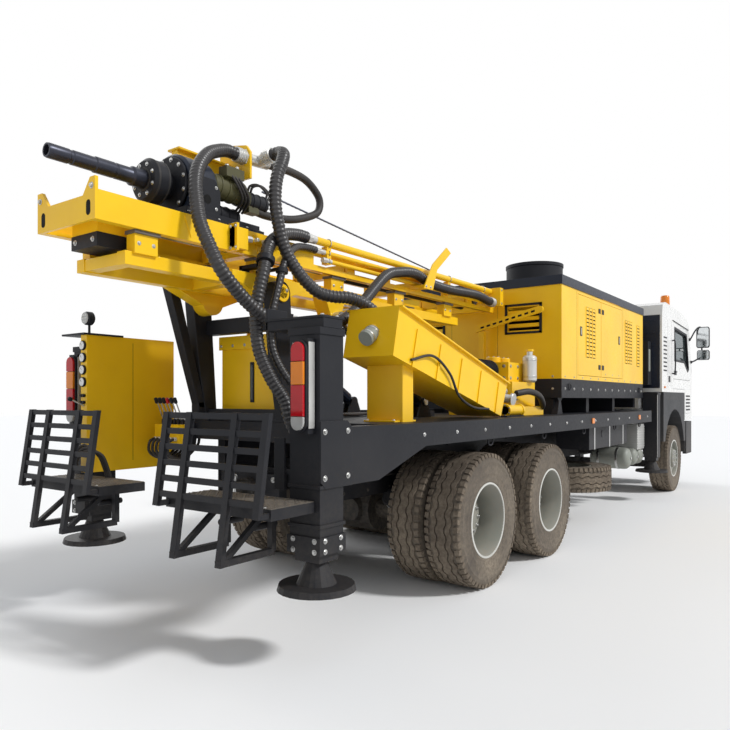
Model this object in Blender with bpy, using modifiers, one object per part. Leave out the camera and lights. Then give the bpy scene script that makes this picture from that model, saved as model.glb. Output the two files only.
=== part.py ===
"""Truck-mounted water well drilling rig, stored for the road.

Metres, +Z up, +X towards the cab, +Y to the left side.
Lengths along the machine are measured from the rearmost axle. Every piece hangs on one empty,
which brings the middle of the whole machine to the origin.
"""
import math

import bmesh
import bpy
from mathutils import Matrix, Vector

# General clearances
SEAT = 0.0003           # gap between pieces that rest on each other
RUN = 0.006             # gap round a piece that moves

# Wheels and axles
TYRE_R = 0.55
TYRE_W = 0.30
RIM_R = 0.30
BULGE_R = 0.45          # widest ring of a tyre
TREAD_EDGE = 0.05       # rounding of a tyre's shoulder, measured across
WHEEL_SIDES = 24
AXLE_Z = TYRE_R * math.cos(math.pi / WHEEL_SIDES)   # the tyres stand on a flat side
REAR_AXLE_X = (1.37, 0.0)
FRONT_AXLE_X = 7.10
TWIN_OUTER_Y = 1.245    # outer face of the twin wheels
TWIN_GAP = 0.045        # gap between the two tyres of a twin wheel
FRONT_OUTER_Y = 1.19    # outer face of a front wheel
AXLE_TUBE_R = 0.085
SPINDLE_R = 0.06
KINGPIN_Y = 0.84
DRUM_R = 0.21

# Lorry frame
RAIL_Y = 0.435          # outer face of the frame rails
RAIL_FLANGE = 0.08
RAIL_PLATE = 0.012
RAIL_TOP = 1.03
RAIL_BOTTOM = 0.74
FRAME_REAR_X = -1.38
FRAME_FRONT_X = 8.15
TRUNNION_X = (REAR_AXLE_X[0] + REAR_AXLE_X[1]) / 2
TRUNNION_Z = 0.50
TRUNNION_R = 0.06
SPRING_Y = (0.455, 0.545)
FRONT_SPRING_BOW = 3.5      # radius of the front springs' curve
FRONT_SPRING_REACH = 0.765
FRONT_SPRING_Z = AXLE_Z + 0.02
SPRING_END_Z = FRONT_SPRING_Z + FRONT_SPRING_BOW - math.sqrt(FRONT_SPRING_BOW ** 2 - FRONT_SPRING_REACH ** 2)
SHAFT_Z = 0.75
SHAFT_R = 0.055

# Deck
DECK_TOP = 1.36
DECK_BEAM_H = 0.16
DECK_HALF_W = 1.235
DECK_BEAM_W = 0.10
DECK_PLATE = 0.012
DECK_FRONT_X = 5.34
CROSS_W = 0.10

# Levelling jacks
POST_X = (-2.12, -1.91)
POST_Y = (1.01, 1.235)
POST_TOP = 1.92
POST_BOTTOM = 0.65
POST_WALL = 0.02
FRONT_POST_X = (5.68, 5.87)
FRONT_POST_Y = (1.03, 1.235)
FRONT_POST_TOP = 1.62
PAD_R = 0.23
PAD_Z = 0.43
PAD_T = 0.035
JACK_STROKE = 0.42

# Mast and its hinge
PIVOT_X = -1.60
PIVOT_Z = 2.25
PIVOT_R = 0.045
MAST_REAR_X = -2.90
MAST_FRONT_X = 2.08
MAST_HALF_W = 0.30
MAST_SIDE_T = 0.055
MAST_BOTTOM = 2.45
MAST_TOP = 2.67
CRADLE_X = (-2.68, 1.30)
CRADLE_Z = (2.28, 2.42)
CRADLE_Y = (0.20, 0.30)
SUPPORT_Y = (0.36, 0.46)
SUPPORT_R = 0.14
MAST_STROKE = 0.90

# Rotary head
HEAD_X = (-2.18, -1.62)
HEAD_Y = 0.24
HEAD_TOP = 3.13
SPINDLE_TIP_X = -3.01
SPINDLE_Z = 2.91
SPINDLE_ROD_R = 0.043
HEAD_DRUM_R = 0.14
HEAD_STROKE = 3.00

# Mast lift cylinders
LIFT_Y = 0.40
LIFT_BASE = (0.30, 1.50)
LIFT_EYE = (-0.90, 2.15)
LIFT_BARREL_R = 0.055
LIFT_ROD_R = 0.028
LIFT_PIN_R = 0.03
LIFT_EYE_HALF = 0.03     # half the thickness of a cylinder's eye

# Platforms at the rear
PLATFORM_X = (-2.47, POST_X[0] - SEAT)
PLATFORM_Y = (0.345, 1.20)
PLATFORM_TOP = 0.95
PLATFORM_T = 0.06
GUARD_TOP = 1.45
GUARD_FOOT_X = -2.59
GUARD_FOOT_Z = 0.64
GUARD_BARS = 6

# Compressor module
HOUSE_X = (2.17, 5.60)
HOUSE_Y = 1.05
HOUSE_BASE_Z = (1.54, 1.75)
HOUSE_TOP = 2.79
ROOF_TOP = 2.88
HOUSE_WALL = 0.04
HOUSE_DOOR_Z = (1.80, 2.74)
DOOR_GAP = 0.005
VENT_X = 4.00
VENT_R = 0.38
VENT_TOP = 3.13

# Cab
CAB_X = (6.15, 8.50)
CAB_Y = 1.20
CAB_WALL = 0.06
CAB_FLOOR = 1.38
CAB_FRONT_FLOOR = 1.16
CAB_MOUNTS = ((6.32, CAB_FLOOR), (8.00, CAB_FRONT_FLOOR))    # place, height
BUMPER_X = 8.61
HINGE_X = 8.385
GLASS_T = 0.008
BEACON_Z = 3.00

# Trough
TROUGH_Y = (-1.10, -0.67)
TROUGH_WALL = 0.012

# Hose from the head to the trough: end face, start of the curve, then points on it
HOSE_R = 0.045
HOSE_HEAD = [
    (-1.49, -0.27, 3.27), (-1.49, -0.33, 3.27), (-1.56, -0.44, 3.20), (-1.66, -0.47, 3.02), (-1.68, -0.48, 2.80),
    (-1.58, -0.50, 2.50), (-1.38, -0.60, 2.27), (-1.12, -0.74, 2.235), (-0.86, -0.80, 2.10), (-0.62, -0.82, 1.92),
]

MID_X = (SPINDLE_TIP_X + BUMPER_X) / 2

YELLOW = ("yellow paint", (0.93, 0.58, 0.015), 0.35, 0.0)
BLACK = ("black paint", (0.018, 0.020, 0.026), 0.45, 0.0)
WHITE = ("white paint", (0.80, 0.80, 0.79), 0.30, 0.0)
GREY = ("grey plastic", (0.09, 0.095, 0.10), 0.60, 0.0)
STEEL = ("bare steel", (0.45, 0.45, 0.44), 0.35, 1.0)
RUBBER = ("rubber", (0.03, 0.028, 0.026), 0.85, 0.0)
TANK_GREY = ("grey-green paint", (0.23, 0.25, 0.22), 0.50, 0.0)
GLASS = ("dark glass", (0.05, 0.07, 0.08), 0.08, 0.0)
AMBER = ("amber plastic", (0.85, 0.30, 0.02), 0.25, 0.0)

for old in list(bpy.data.objects):
    bpy.data.objects.remove(old, do_unlink=True)

RIG = bpy.data.collections.new("water_well_drilling_rig")
TOOLS = bpy.data.collections.new("tools")
bpy.context.scene.collection.children.link(RIG)
bpy.context.scene.collection.children.link(TOOLS)

MIDDLE = bpy.data.objects.new("middle_of_machine", None)
MIDDLE.location = (-MID_X, 0.0, 0.0)
RIG.objects.link(MIDDLE)


# Modelling helpers

def material(finish):
    """The Principled material of a finish, made once."""
    name, colour, roughness, metallic = finish
    made = bpy.data.materials.get(name)
    if made is None:
        made = bpy.data.materials.new(name)
        made.use_nodes = True
        shader = made.node_tree.nodes["Principled BSDF"]
        shader.inputs["Base Color"].default_value = (*colour, 1.0)
        shader.inputs["Roughness"].default_value = roughness
        shader.inputs["Metallic"].default_value = metallic
        made.diffuse_color = (*colour, 1.0)
    return made


def tool(mesh):
    """A solid that is still to be joined or used as a cutter."""
    made = bpy.data.objects.new("tool", mesh)
    made.hide_render = True
    made.display_type = "WIRE"
    TOOLS.objects.link(made)
    return made


def baked(obj):
    """The object with its modifiers or its curve turned into one welded mesh."""
    bpy.context.view_layer.update()
    graph = bpy.context.evaluated_depsgraph_get()
    mesh = bpy.data.meshes.new_from_object(obj.evaluated_get(graph))
    mesh.transform(obj.matrix_world)
    bm = bmesh.new()
    bm.from_mesh(mesh)
    bmesh.ops.remove_doubles(bm, verts=bm.verts, dist=0.00001)
    bm.to_mesh(mesh)
    bm.free()
    bpy.data.objects.remove(obj, do_unlink=True)
    return tool(mesh)


def box(x, y, z):
    """A block between the two values of each axis."""
    spans = [tuple(sorted(span)) for span in (x, y, z)]
    bm = bmesh.new()
    bmesh.ops.create_cube(bm, size=1.0)
    bmesh.ops.scale(bm, vec=[hi - lo for lo, hi in spans], verts=bm.verts)
    bmesh.ops.translate(bm, vec=[(hi + lo) / 2 for lo, hi in spans], verts=bm.verts)
    mesh = bpy.data.meshes.new("block")
    bm.to_mesh(mesh)
    bm.free()
    return tool(mesh)


def rod(start, end, radius, end_radius=None, sides=12):
    """A cylinder or cone between two points."""
    start, end = Vector(start), Vector(end)
    bm = bmesh.new()
    bmesh.ops.create_cone(
        bm, cap_ends=True, segments=sides, radius1=radius,
        radius2=radius if end_radius is None else end_radius, depth=(end - start).length,
    )
    turn = (end - start).to_track_quat("Z", "Y").to_matrix().to_4x4()
    bm.transform(Matrix.Translation((start + end) / 2) @ turn)
    mesh = bpy.data.meshes.new("rod")
    bm.to_mesh(mesh)
    bm.free()
    return tool(mesh)


def prism(outline, span, across="Y", holes=()):
    """A flat outline with a thickness along one axis: (X, Z) across Y, (X, Y) across Z, (Y, Z) across X."""
    curve = bpy.data.curves.new("outline", "CURVE")
    curve.dimensions = "2D"
    curve.fill_mode = "BOTH"
    lo, hi = sorted(span)
    curve.extrude = (hi - lo) / 2
    for loop in (outline, *holes):
        spline = curve.splines.new("POLY")
        spline.points.add(len(loop) - 1)
        for point, (u, v) in zip(spline.points, loop):
            point.co = (u, v, 0.0, 1.0)
        spline.use_cyclic_u = True
    shape = bpy.data.objects.new("outline", curve)
    TOOLS.objects.link(shape)
    middle = (lo + hi) / 2
    if across == "Y":
        shape.matrix_world = Matrix.Translation((0, middle, 0)) @ Matrix.Rotation(math.pi / 2, 4, "X")
    elif across == "X":
        turn = Matrix(((0, 0, 1, 0), (1, 0, 0, 0), (0, 1, 0, 0), (0, 0, 0, 1)))
        shape.matrix_world = Matrix.Translation((middle, 0, 0)) @ turn
    else:
        shape.matrix_world = Matrix.Translation((0, 0, middle))
    return baked(shape)


def arc(centre, radius, start, end, count):
    """Points on an arc, angles in degrees."""
    steps = [math.radians(start + (end - start) * i / (count - 1)) for i in range(count)]
    return [(centre[0] + radius * math.cos(a), centre[1] + radius * math.sin(a)) for a in steps]


def circle(centre, radius, sides=16):
    """Points round a whole circle."""
    return arc(centre, radius, 0.0, 360.0 * (sides - 1) / sides, sides)


def bore(radius, sides=12, gap=SEAT):
    """Radius of a faceted hole that clears a round bar of the given radius all round."""
    return (radius + gap) / math.cos(math.pi / sides)


def press_bore(radius, sides=12):
    """Radius of a faceted hole whose flats lie one seat gap from the flats of a like bar."""
    return radius + SEAT / math.cos(math.pi / sides)


def turned(profile, centre, side, sides=WHEEL_SIDES):
    """A profile of (radius, height) turned about a line along Y; heights grow towards the given side."""
    mesh = bpy.data.meshes.new("profile")
    points = [(r, 0.0, h) for r, h in profile]
    mesh.from_pydata(points, [(i, i + 1) for i in range(len(points) - 1)], [])
    shape = tool(mesh)
    screw = shape.modifiers.new("turn", "SCREW")
    screw.angle = 2 * math.pi
    screw.steps = sides
    screw.render_steps = sides
    screw.use_merge_vertices = True
    screw.merge_threshold = 0.00005
    half_step = Matrix.Rotation(math.pi / sides, 4, "Z")
    shape.matrix_world = Matrix.Translation(centre) @ Matrix.Rotation(-side * math.pi / 2, 4, "X") @ half_step
    return baked(shape)


def tube(route, radius, rounds=2):
    """A round bar or hose along a list of points."""
    curve = bpy.data.curves.new("route", "CURVE")
    curve.dimensions = "3D"
    curve.bevel_depth = radius
    curve.bevel_resolution = rounds
    curve.use_fill_caps = True
    spline = curve.splines.new("POLY")
    spline.points.add(len(route) - 1)
    for point, place in zip(spline.points, route):
        point.co = (*place, 1.0)
    shape = bpy.data.objects.new("route", curve)
    TOOLS.objects.link(shape)
    return baked(shape)


def smooth_route(points, step):
    """Evenly spaced points on a smooth curve through the given points."""
    ends = [2 * Vector(points[0]) - Vector(points[1])]
    ends += [Vector(p) for p in points]
    ends.append(2 * Vector(points[-1]) - Vector(points[-2]))
    fine = []
    for a, b, c, d in zip(ends, ends[1:], ends[2:], ends[3:]):
        for i in range(24):
            t = i / 24
            fine.append(
                0.5 * (2 * b + (c - a) * t + (2 * a - 5 * b + 4 * c - d) * t * t
                       + (3 * b - a - 3 * c + d) * t ** 3)
            )
    fine.append(ends[-2])
    length = sum((q - p).length for p, q in zip(fine, fine[1:]))
    count = max(2, round(length / step))
    route, gone, k = [fine[0]], 0.0, 0
    for i in range(1, count):
        goal = length * i / count
        while gone + (fine[k + 1] - fine[k]).length < goal:
            gone += (fine[k + 1] - fine[k]).length
            k += 1
        share = (goal - gone) / (fine[k + 1] - fine[k]).length
        route.append(fine[k].lerp(fine[k + 1], share))
    route.append(fine[-1])
    return route


def combined(body, others, operation):
    """The body with the other solids joined to it or cut from it."""
    if not others:
        return body
    group = bpy.data.collections.new("group")
    TOOLS.children.link(group)
    for other in others:
        TOOLS.objects.unlink(other)
        group.objects.link(other)
    cut = body.modifiers.new("combine", "BOOLEAN")
    cut.operation = operation
    cut.operand_type = "COLLECTION"
    cut.collection = group
    cut.solver = "EXACT"
    made = baked(body)
    for other in others:
        bpy.data.objects.remove(other, do_unlink=True)
    bpy.data.collections.remove(group)
    return made


def flattened(mesh):
    """Faces that lie in one plane become one face again after the joins and cuts."""
    bm = bmesh.new()
    bm.from_mesh(mesh)
    bmesh.ops.dissolve_limit(bm, angle_limit=math.radians(0.05), verts=bm.verts, edges=bm.edges)
    bm.to_mesh(mesh)
    bm.free()


def part(name, finish, solids, cuts=(), pivot=(0.0, 0.0, 0.0), edge=0.0):
    """One piece of the machine: solids joined, cutters taken away, its origin on the pivot."""
    made = combined(solids[0], list(solids[1:]), "UNION")
    made = combined(made, list(cuts), "DIFFERENCE")
    flattened(made.data)
    TOOLS.objects.unlink(made)
    RIG.objects.link(made)
    made.name = name
    made.data.name = name
    made.data.transform(Matrix.Translation(-Vector(pivot)))
    made.location = pivot
    made.parent = MIDDLE
    made.hide_render = False
    made.display_type = "TEXTURED"
    made.data.materials.clear()
    made.data.materials.append(material(finish))
    made.data.shade_smooth()
    made.data.set_sharp_from_angle(angle=math.radians(32))
    if edge:
        bevel = made.modifiers.new("edges", "BEVEL")
        bevel.width = edge
        bevel.segments = 1
        bevel.limit_method = "ANGLE"
        bevel.angle_limit = math.radians(40)
    return made


def sided(side, span):
    """A span of Y on one side of the machine: 1 is left, -1 is right."""
    return tuple(side * value for value in span)


SIDES = (("L", 1), ("R", -1))


# Lorry frame, axles and wheels

def truck_frame():
    depth = RAIL_TOP - RAIL_BOTTOM
    solids = []
    for _, side in SIDES:
        outer = RAIL_Y
        inner = RAIL_Y - RAIL_FLANGE
        web = RAIL_Y - RAIL_PLATE
        channel = [
            (outer, RAIL_BOTTOM), (outer, RAIL_TOP), (inner, RAIL_TOP), (inner, RAIL_TOP - RAIL_PLATE),
            (web, RAIL_TOP - RAIL_PLATE), (web, RAIL_BOTTOM + RAIL_PLATE),
            (inner, RAIL_BOTTOM + RAIL_PLATE), (inner, RAIL_BOTTOM),
        ]
        solids.append(prism([(side * y, z) for y, z in channel], (FRAME_REAR_X, FRAME_FRONT_X), "X"))
        bracket = [
            (TRUNNION_X - 0.26, RAIL_BOTTOM + 0.02), (TRUNNION_X - 0.12, TRUNNION_Z - 0.06),
            (TRUNNION_X + 0.12, TRUNNION_Z - 0.06), (TRUNNION_X + 0.26, RAIL_BOTTOM + 0.02),
        ]
        solids.append(prism(bracket, sided(side, (RAIL_Y - 0.06, RAIL_Y - 0.005))))
        for x in (FRONT_AXLE_X - 0.75, FRONT_AXLE_X + 0.75):
            solids.append(box((x - 0.03, x + 0.03), sided(side, (0.36, 0.43)), (SPRING_END_Z + SEAT, RAIL_BOTTOM + 0.005)))
        for x, top in CAB_MOUNTS:
            solids.append(box((x - 0.08, x + 0.08), sided(side, (0.36, 0.43)), (RAIL_TOP - 0.005, top - SEAT)))
    for x in (-1.32, -0.62, TRUNNION_X, 2.20, 3.30, 4.40, 5.35, 8.05):
        solids.append(box((x - 0.045, x + 0.045), (-RAIL_Y + 0.006, RAIL_Y - 0.006), (RAIL_TOP - 0.14, RAIL_TOP - 0.014)))
    cuts = [rod((TRUNNION_X, -0.5, TRUNNION_Z), (TRUNNION_X, 0.5, TRUNNION_Z), press_bore(TRUNNION_R))]
    return part("truck_frame", BLACK, solids, cuts)


def rear_springs():
    """Two leaf packs on the trunnion tube between the rear axles."""
    low = AXLE_Z + AXLE_TUBE_R + SEAT
    solids = [rod((TRUNNION_X, -SPRING_Y[1], TRUNNION_Z), (TRUNNION_X, SPRING_Y[1], TRUNNION_Z), TRUNNION_R)]
    leaves = 5
    leaf = 0.03
    for _, side in SIDES:
        outline_low = [(TRUNNION_X - 0.80, low), (TRUNNION_X + 0.80, low)]
        right, left = [], []
        for i in range(leaves):
            reach = 0.80 - 0.13 * i
            right += [(TRUNNION_X + reach, low + leaf * i), (TRUNNION_X + reach, low + leaf * (i + 1))]
            left += [(TRUNNION_X - reach, low + leaf * i), (TRUNNION_X - reach, low + leaf * (i + 1))]
        solids.append(prism(outline_low[:1] + right + left[::-1][:-1], sided(side, SPRING_Y)))
        solids.append(box((TRUNNION_X - 0.11, TRUNNION_X + 0.11), sided(side, (0.447, 0.553)), (TRUNNION_Z - 0.08, low + leaf * leaves + 0.02)))
    return part("rear_springs", BLACK, solids)


def rear_axle(number, x):
    """A driven axle: tube, differential housing and the stub ends that carry the twin wheels."""
    reach = TWIN_OUTER_Y - 0.19 - SEAT
    solids = [
        rod((x, -reach, AXLE_Z), (x, reach, AXLE_Z), SPINDLE_R),
        rod((x, -0.56, AXLE_Z), (x, 0.56, AXLE_Z), AXLE_TUBE_R),
        rod((x, -0.17, AXLE_Z), (x, 0.17, AXLE_Z), 0.20, sides=20),
        rod((x - 0.24, 0, AXLE_Z), (x, 0, AXLE_Z), 0.10, 0.17),
    ]
    if number == 1:
        solids.append(rod((x, 0, SHAFT_Z), (x + 0.40, 0, SHAFT_Z), 0.085))
        solids.append(rod((REAR_AXLE_X[1] + 0.36 + SEAT, 0, SHAFT_Z), (x, 0, SHAFT_Z), 0.045))
        solids.append(box((x - 0.12, x + 0.12), (-0.12, 0.12), (AXLE_Z, SHAFT_Z + 0.06)))
    else:
        solids.append(rod((x, 0, SHAFT_Z), (x + 0.36, 0, SHAFT_Z), 0.075))
        solids.append(box((x - 0.10, x + 0.12), (-0.10, 0.10), (AXLE_Z, SHAFT_Z + 0.05)))
    return part(f"rear_axle_{number}", BLACK, solids)


def twin_wheel(number, x, letter, side):
    """Two tyres on their rims, with the hub and brake drum, turned as one wheel."""
    out = TWIN_OUTER_Y
    inner = out - TYRE_W - TWIN_GAP
    hole = bore(SPINDLE_R, WHEEL_SIDES)
    profile = [
        (0, out - 0.09), (0.115, out - 0.09), (0.14, out - 0.185), (0.24, out - 0.185),
        (0.275, out - 0.04), (RIM_R, out - 0.012),
        (BULGE_R, out), (TYRE_R, out - TREAD_EDGE), (TYRE_R, out - TYRE_W + TREAD_EDGE), (BULGE_R, out - TYRE_W),
        (RIM_R + 0.01, out - TYRE_W + 0.01), (RIM_R + 0.01, inner - 0.01),
        (BULGE_R, inner), (TYRE_R, inner - TREAD_EDGE), (TYRE_R, inner - TYRE_W + TREAD_EDGE), (BULGE_R, inner - TYRE_W),
        (RIM_R - 0.01, inner - TYRE_W + 0.012), (0.265, out - 0.27), (DRUM_R + 0.005, out - 0.27),
        (DRUM_R, inner - TYRE_W - 0.02), (hole, inner - TYRE_W - 0.02),
        (hole, out - 0.19), (0, out - 0.19),
    ]
    made = turned(profile, (x, 0, AXLE_Z), side)
    return part(f"rear_wheel_{number}_{letter}", RUBBER, [made], pivot=(x, side * (out - TYRE_W), AXLE_Z))


def front_axle():
    """A forged beam with its kingpin bosses and the two leaf springs on it."""
    x = FRONT_AXLE_X
    low = AXLE_Z - 0.17
    solids = [box((x - 0.05, x + 0.05), (-KINGPIN_Y, KINGPIN_Y), (low, low + 0.11))]
    swing = math.degrees(math.asin(FRONT_SPRING_REACH / FRONT_SPRING_BOW))
    leaf = 0.05
    for _, side in SIDES:
        solids.append(rod((x, side * KINGPIN_Y, low - 0.01), (x, side * KINGPIN_Y, AXLE_Z + 0.11), 0.055))
        top = arc((x, FRONT_SPRING_Z + FRONT_SPRING_BOW), FRONT_SPRING_BOW, 270 - swing, 270 + swing, 9)
        spring = top + [(u, v - leaf) for u, v in top][::-1]
        solids.append(prism(spring, sided(side, (0.37, 0.45))))
        solids.append(box((x - 0.10, x + 0.10), sided(side, (0.36, 0.46)), (low + 0.05, FRONT_SPRING_Z + 0.03)))
    return part("front_axle", BLACK, solids)


def knuckle(letter, side):
    """Steering knuckle: fork on the kingpin, and the stub axle that carries the wheel."""
    x = FRONT_AXLE_X
    low = AXLE_Z - 0.18
    high = AXLE_Z + 0.11
    y0 = KINGPIN_Y - 0.06
    y1 = KINGPIN_Y + 0.10
    reach = FRONT_OUTER_Y - 0.125 - SEAT
    solids = [
        box((x - 0.05, x + 0.05), sided(side, (y1 - 0.035, y1)), (low - 0.05, high + 0.05)),
        box((x - 0.06, x + 0.06), sided(side, (y0, y1)), (high + SEAT, high + 0.05)),
        box((x - 0.06, x + 0.06), sided(side, (y0, y1)), (low - 0.05, low - SEAT)),
        rod((x, side * (y1 - 0.01), AXLE_Z), (x, side * reach, AXLE_Z), SPINDLE_R - 0.01),
    ]
    return part(f"knuckle_{letter}", BLACK, solids, pivot=(x, side * KINGPIN_Y, AXLE_Z))


def front_wheel(letter, side):
    """Single front tyre on its rim, with hub and brake drum."""
    out = FRONT_OUTER_Y
    hole = bore(SPINDLE_R - 0.01, WHEEL_SIDES)
    profile = [
        (0, out + 0.02), (0.10, out + 0.02), (0.13, out - 0.03), (0.21, out - 0.02), (0.25, out - 0.05),
        (0.275, out - 0.03), (RIM_R, out - 0.012),
        (BULGE_R, out), (TYRE_R, out - TREAD_EDGE), (TYRE_R, out - TYRE_W + TREAD_EDGE), (BULGE_R, out - TYRE_W),
        (RIM_R, out - TYRE_W + 0.012), (0.27, out - 0.10), (0.20, out - 0.10),
        (0.20, out - TYRE_W + 0.08), (hole, out - TYRE_W + 0.08), (hole, out - 0.125), (0, out - 0.125),
    ]
    made = turned(profile, (FRONT_AXLE_X, 0, AXLE_Z), side)
    return part(f"front_wheel_{letter}", RUBBER, [made], pivot=(FRONT_AXLE_X, side * (out - TYRE_W / 2), AXLE_Z))


def power_train():
    """Plain block for the engine, with the gearbox and the propeller shaft."""
    solids = [
        box((6.52, 7.80), (-0.33, 0.33), (0.68, 1.30)),
        box((5.60, 6.55), (-0.20, 0.20), (0.66, 1.04)),
        rod((REAR_AXLE_X[0] + 0.40 + SEAT, 0, SHAFT_Z), (5.65, 0, SHAFT_Z), SHAFT_R),
        rod((REAR_AXLE_X[0] + 0.40 + SEAT, 0, SHAFT_Z), (REAR_AXLE_X[0] + 0.46, 0, SHAFT_Z), 0.085),
    ]
    return part("power_train", GREY, solids)


def spare_wheel():
    """Tyre and rim lying flat under the deck."""
    half = TYRE_W / 2
    profile = [
        (0, 0.05), (0.24, 0.05), (0.275, half - 0.03), (RIM_R, half - 0.012),
        (BULGE_R, half), (TYRE_R, half - TREAD_EDGE), (TYRE_R, -half + TREAD_EDGE), (BULGE_R, -half),
        (RIM_R, -half + 0.012), (0.24, -half + 0.05), (0, -half + 0.05),
    ]
    centre = Vector((3.40, -0.66, 0.555))
    made = turned(profile, (0, 0, 0), 1)
    made.data.transform(Matrix.Translation(centre) @ Matrix.Rotation(math.pi / 2, 4, "X"))
    hanger = rod(centre + Vector((0, 0.27, 0.04)), (centre.x, centre.y + 0.27, RAIL_BOTTOM - SEAT), 0.03)
    return part("spare_wheel", RUBBER, [made, hanger])


# Deck with the jack posts

def deck_frame():
    """Welded deck: side beams, cross beams, plate, sub-rails on the lorry frame, and four jack posts."""
    low = DECK_TOP - DECK_BEAM_H
    solids = []
    cuts = []
    for _, side in SIDES:
        beam_y = sided(side, (DECK_HALF_W - DECK_BEAM_W, DECK_HALF_W))
        solids.append(box((POST_X[1] - 0.01, DECK_FRONT_X), beam_y, (low, DECK_TOP)))
        solids.append(box((FRAME_REAR_X, DECK_FRONT_X + 0.55), sided(side, (RAIL_Y - RAIL_FLANGE, RAIL_Y)), (RAIL_TOP + SEAT, DECK_TOP - 0.01)))
        gusset = [(-1.92, low + 0.01), (-1.92, 1.02), (-1.55, 1.02), (-0.95, low + 0.01)]
        solids.append(prism(gusset, beam_y))
        solids.append(box(POST_X, sided(side, POST_Y), (POST_BOTTOM, POST_TOP)))
        solids.append(box((POST_X[0] - 0.012, POST_X[1] + 0.012), sided(side, (POST_Y[0] - 0.012, POST_Y[1] + 0.01)), (POST_BOTTOM, POST_BOTTOM + 0.10)))
        cuts.append(box(
            (POST_X[0] + POST_WALL, POST_X[1] - POST_WALL),
            sided(side, (POST_Y[0] + POST_WALL, POST_Y[1] - POST_WALL)), (POST_BOTTOM - 0.01, POST_TOP - 0.03)))
        solids.append(box(FRONT_POST_X, sided(side, FRONT_POST_Y), (POST_BOTTOM, FRONT_POST_TOP)))
        cuts.append(box(
            (FRONT_POST_X[0] + POST_WALL, FRONT_POST_X[1] - POST_WALL),
            sided(side, (FRONT_POST_Y[0] + POST_WALL, FRONT_POST_Y[1] - POST_WALL)), (POST_BOTTOM - 0.01, FRONT_POST_TOP - 0.03)))
        lamp_y = sided(side, (1.09, 1.20))
        solids.append(box((POST_X[0] - 0.06, POST_X[0] + 0.01), lamp_y, (1.33, 1.86)))
        for y in (LIFT_Y - LIFT_EYE_HALF - SEAT - 0.02, LIFT_Y + LIFT_EYE_HALF + SEAT):
            ear = [(LIFT_BASE[0] - 0.12, DECK_TOP - 0.01), (LIFT_BASE[0] + 0.12, DECK_TOP - 0.01)]
            ear += arc(LIFT_BASE, 0.05, 0, 180, 7)
            solids.append(prism(ear, sided(side, (y, y + 0.02))))
        solids.append(rod((LIFT_BASE[0], side * (LIFT_Y - 0.045), LIFT_BASE[1]), (LIFT_BASE[0], side * (LIFT_Y + 0.045), LIFT_BASE[1]), LIFT_PIN_R))
    for x in (-1.33, -0.60, 0.0, 1.0, 2.0, 3.0, 4.0, 5.0):
        solids.append(box((x - CROSS_W / 2, x + CROSS_W / 2), (-DECK_HALF_W + 0.02, DECK_HALF_W - 0.02), (low + 0.02, DECK_TOP - 0.006)))
    solids.append(box((FRONT_POST_X[0] + 0.04, FRONT_POST_X[1] - 0.04), (-FRONT_POST_Y[0] - 0.01, FRONT_POST_Y[0] + 0.01), (low, DECK_TOP - 0.02)))
    plate_y = DECK_HALF_W - DECK_BEAM_W + 0.01
    solids.append(box((FRAME_REAR_X, DECK_FRONT_X), (-plate_y, plate_y), (DECK_TOP - DECK_PLATE, DECK_TOP)))
    solids.append(box((-1.56, FRAME_REAR_X + 0.02), (-0.80, 0.80), (low + 0.02, DECK_TOP)))
    return part("deck_frame", BLACK, solids, cuts)


def jack_leg(name, x_span, y_span, top, side):
    """Sliding leg of a levelling jack with its round foot pad."""
    x0, x1 = x_span[0] + POST_WALL + SEAT, x_span[1] - POST_WALL - SEAT
    y0, y1 = y_span[0] + POST_WALL + SEAT, y_span[1] - POST_WALL - SEAT
    x = (x0 + x1) / 2
    y = side * (y0 + y1) / 2
    solids = [
        box((x0, x1), sided(side, (y0, y1)), (POST_BOTTOM - 0.05, top - 0.06)),
        rod((x, y, PAD_Z + PAD_T - 0.005), (x, y, POST_BOTTOM - 0.045), 0.12, 0.055, sides=20),
        rod((x, y, PAD_Z), (x, y, PAD_Z + PAD_T), PAD_R, PAD_R - 0.01, sides=24),
    ]
    return part(name, BLACK, solids, pivot=(x, y, PAD_Z))


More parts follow.
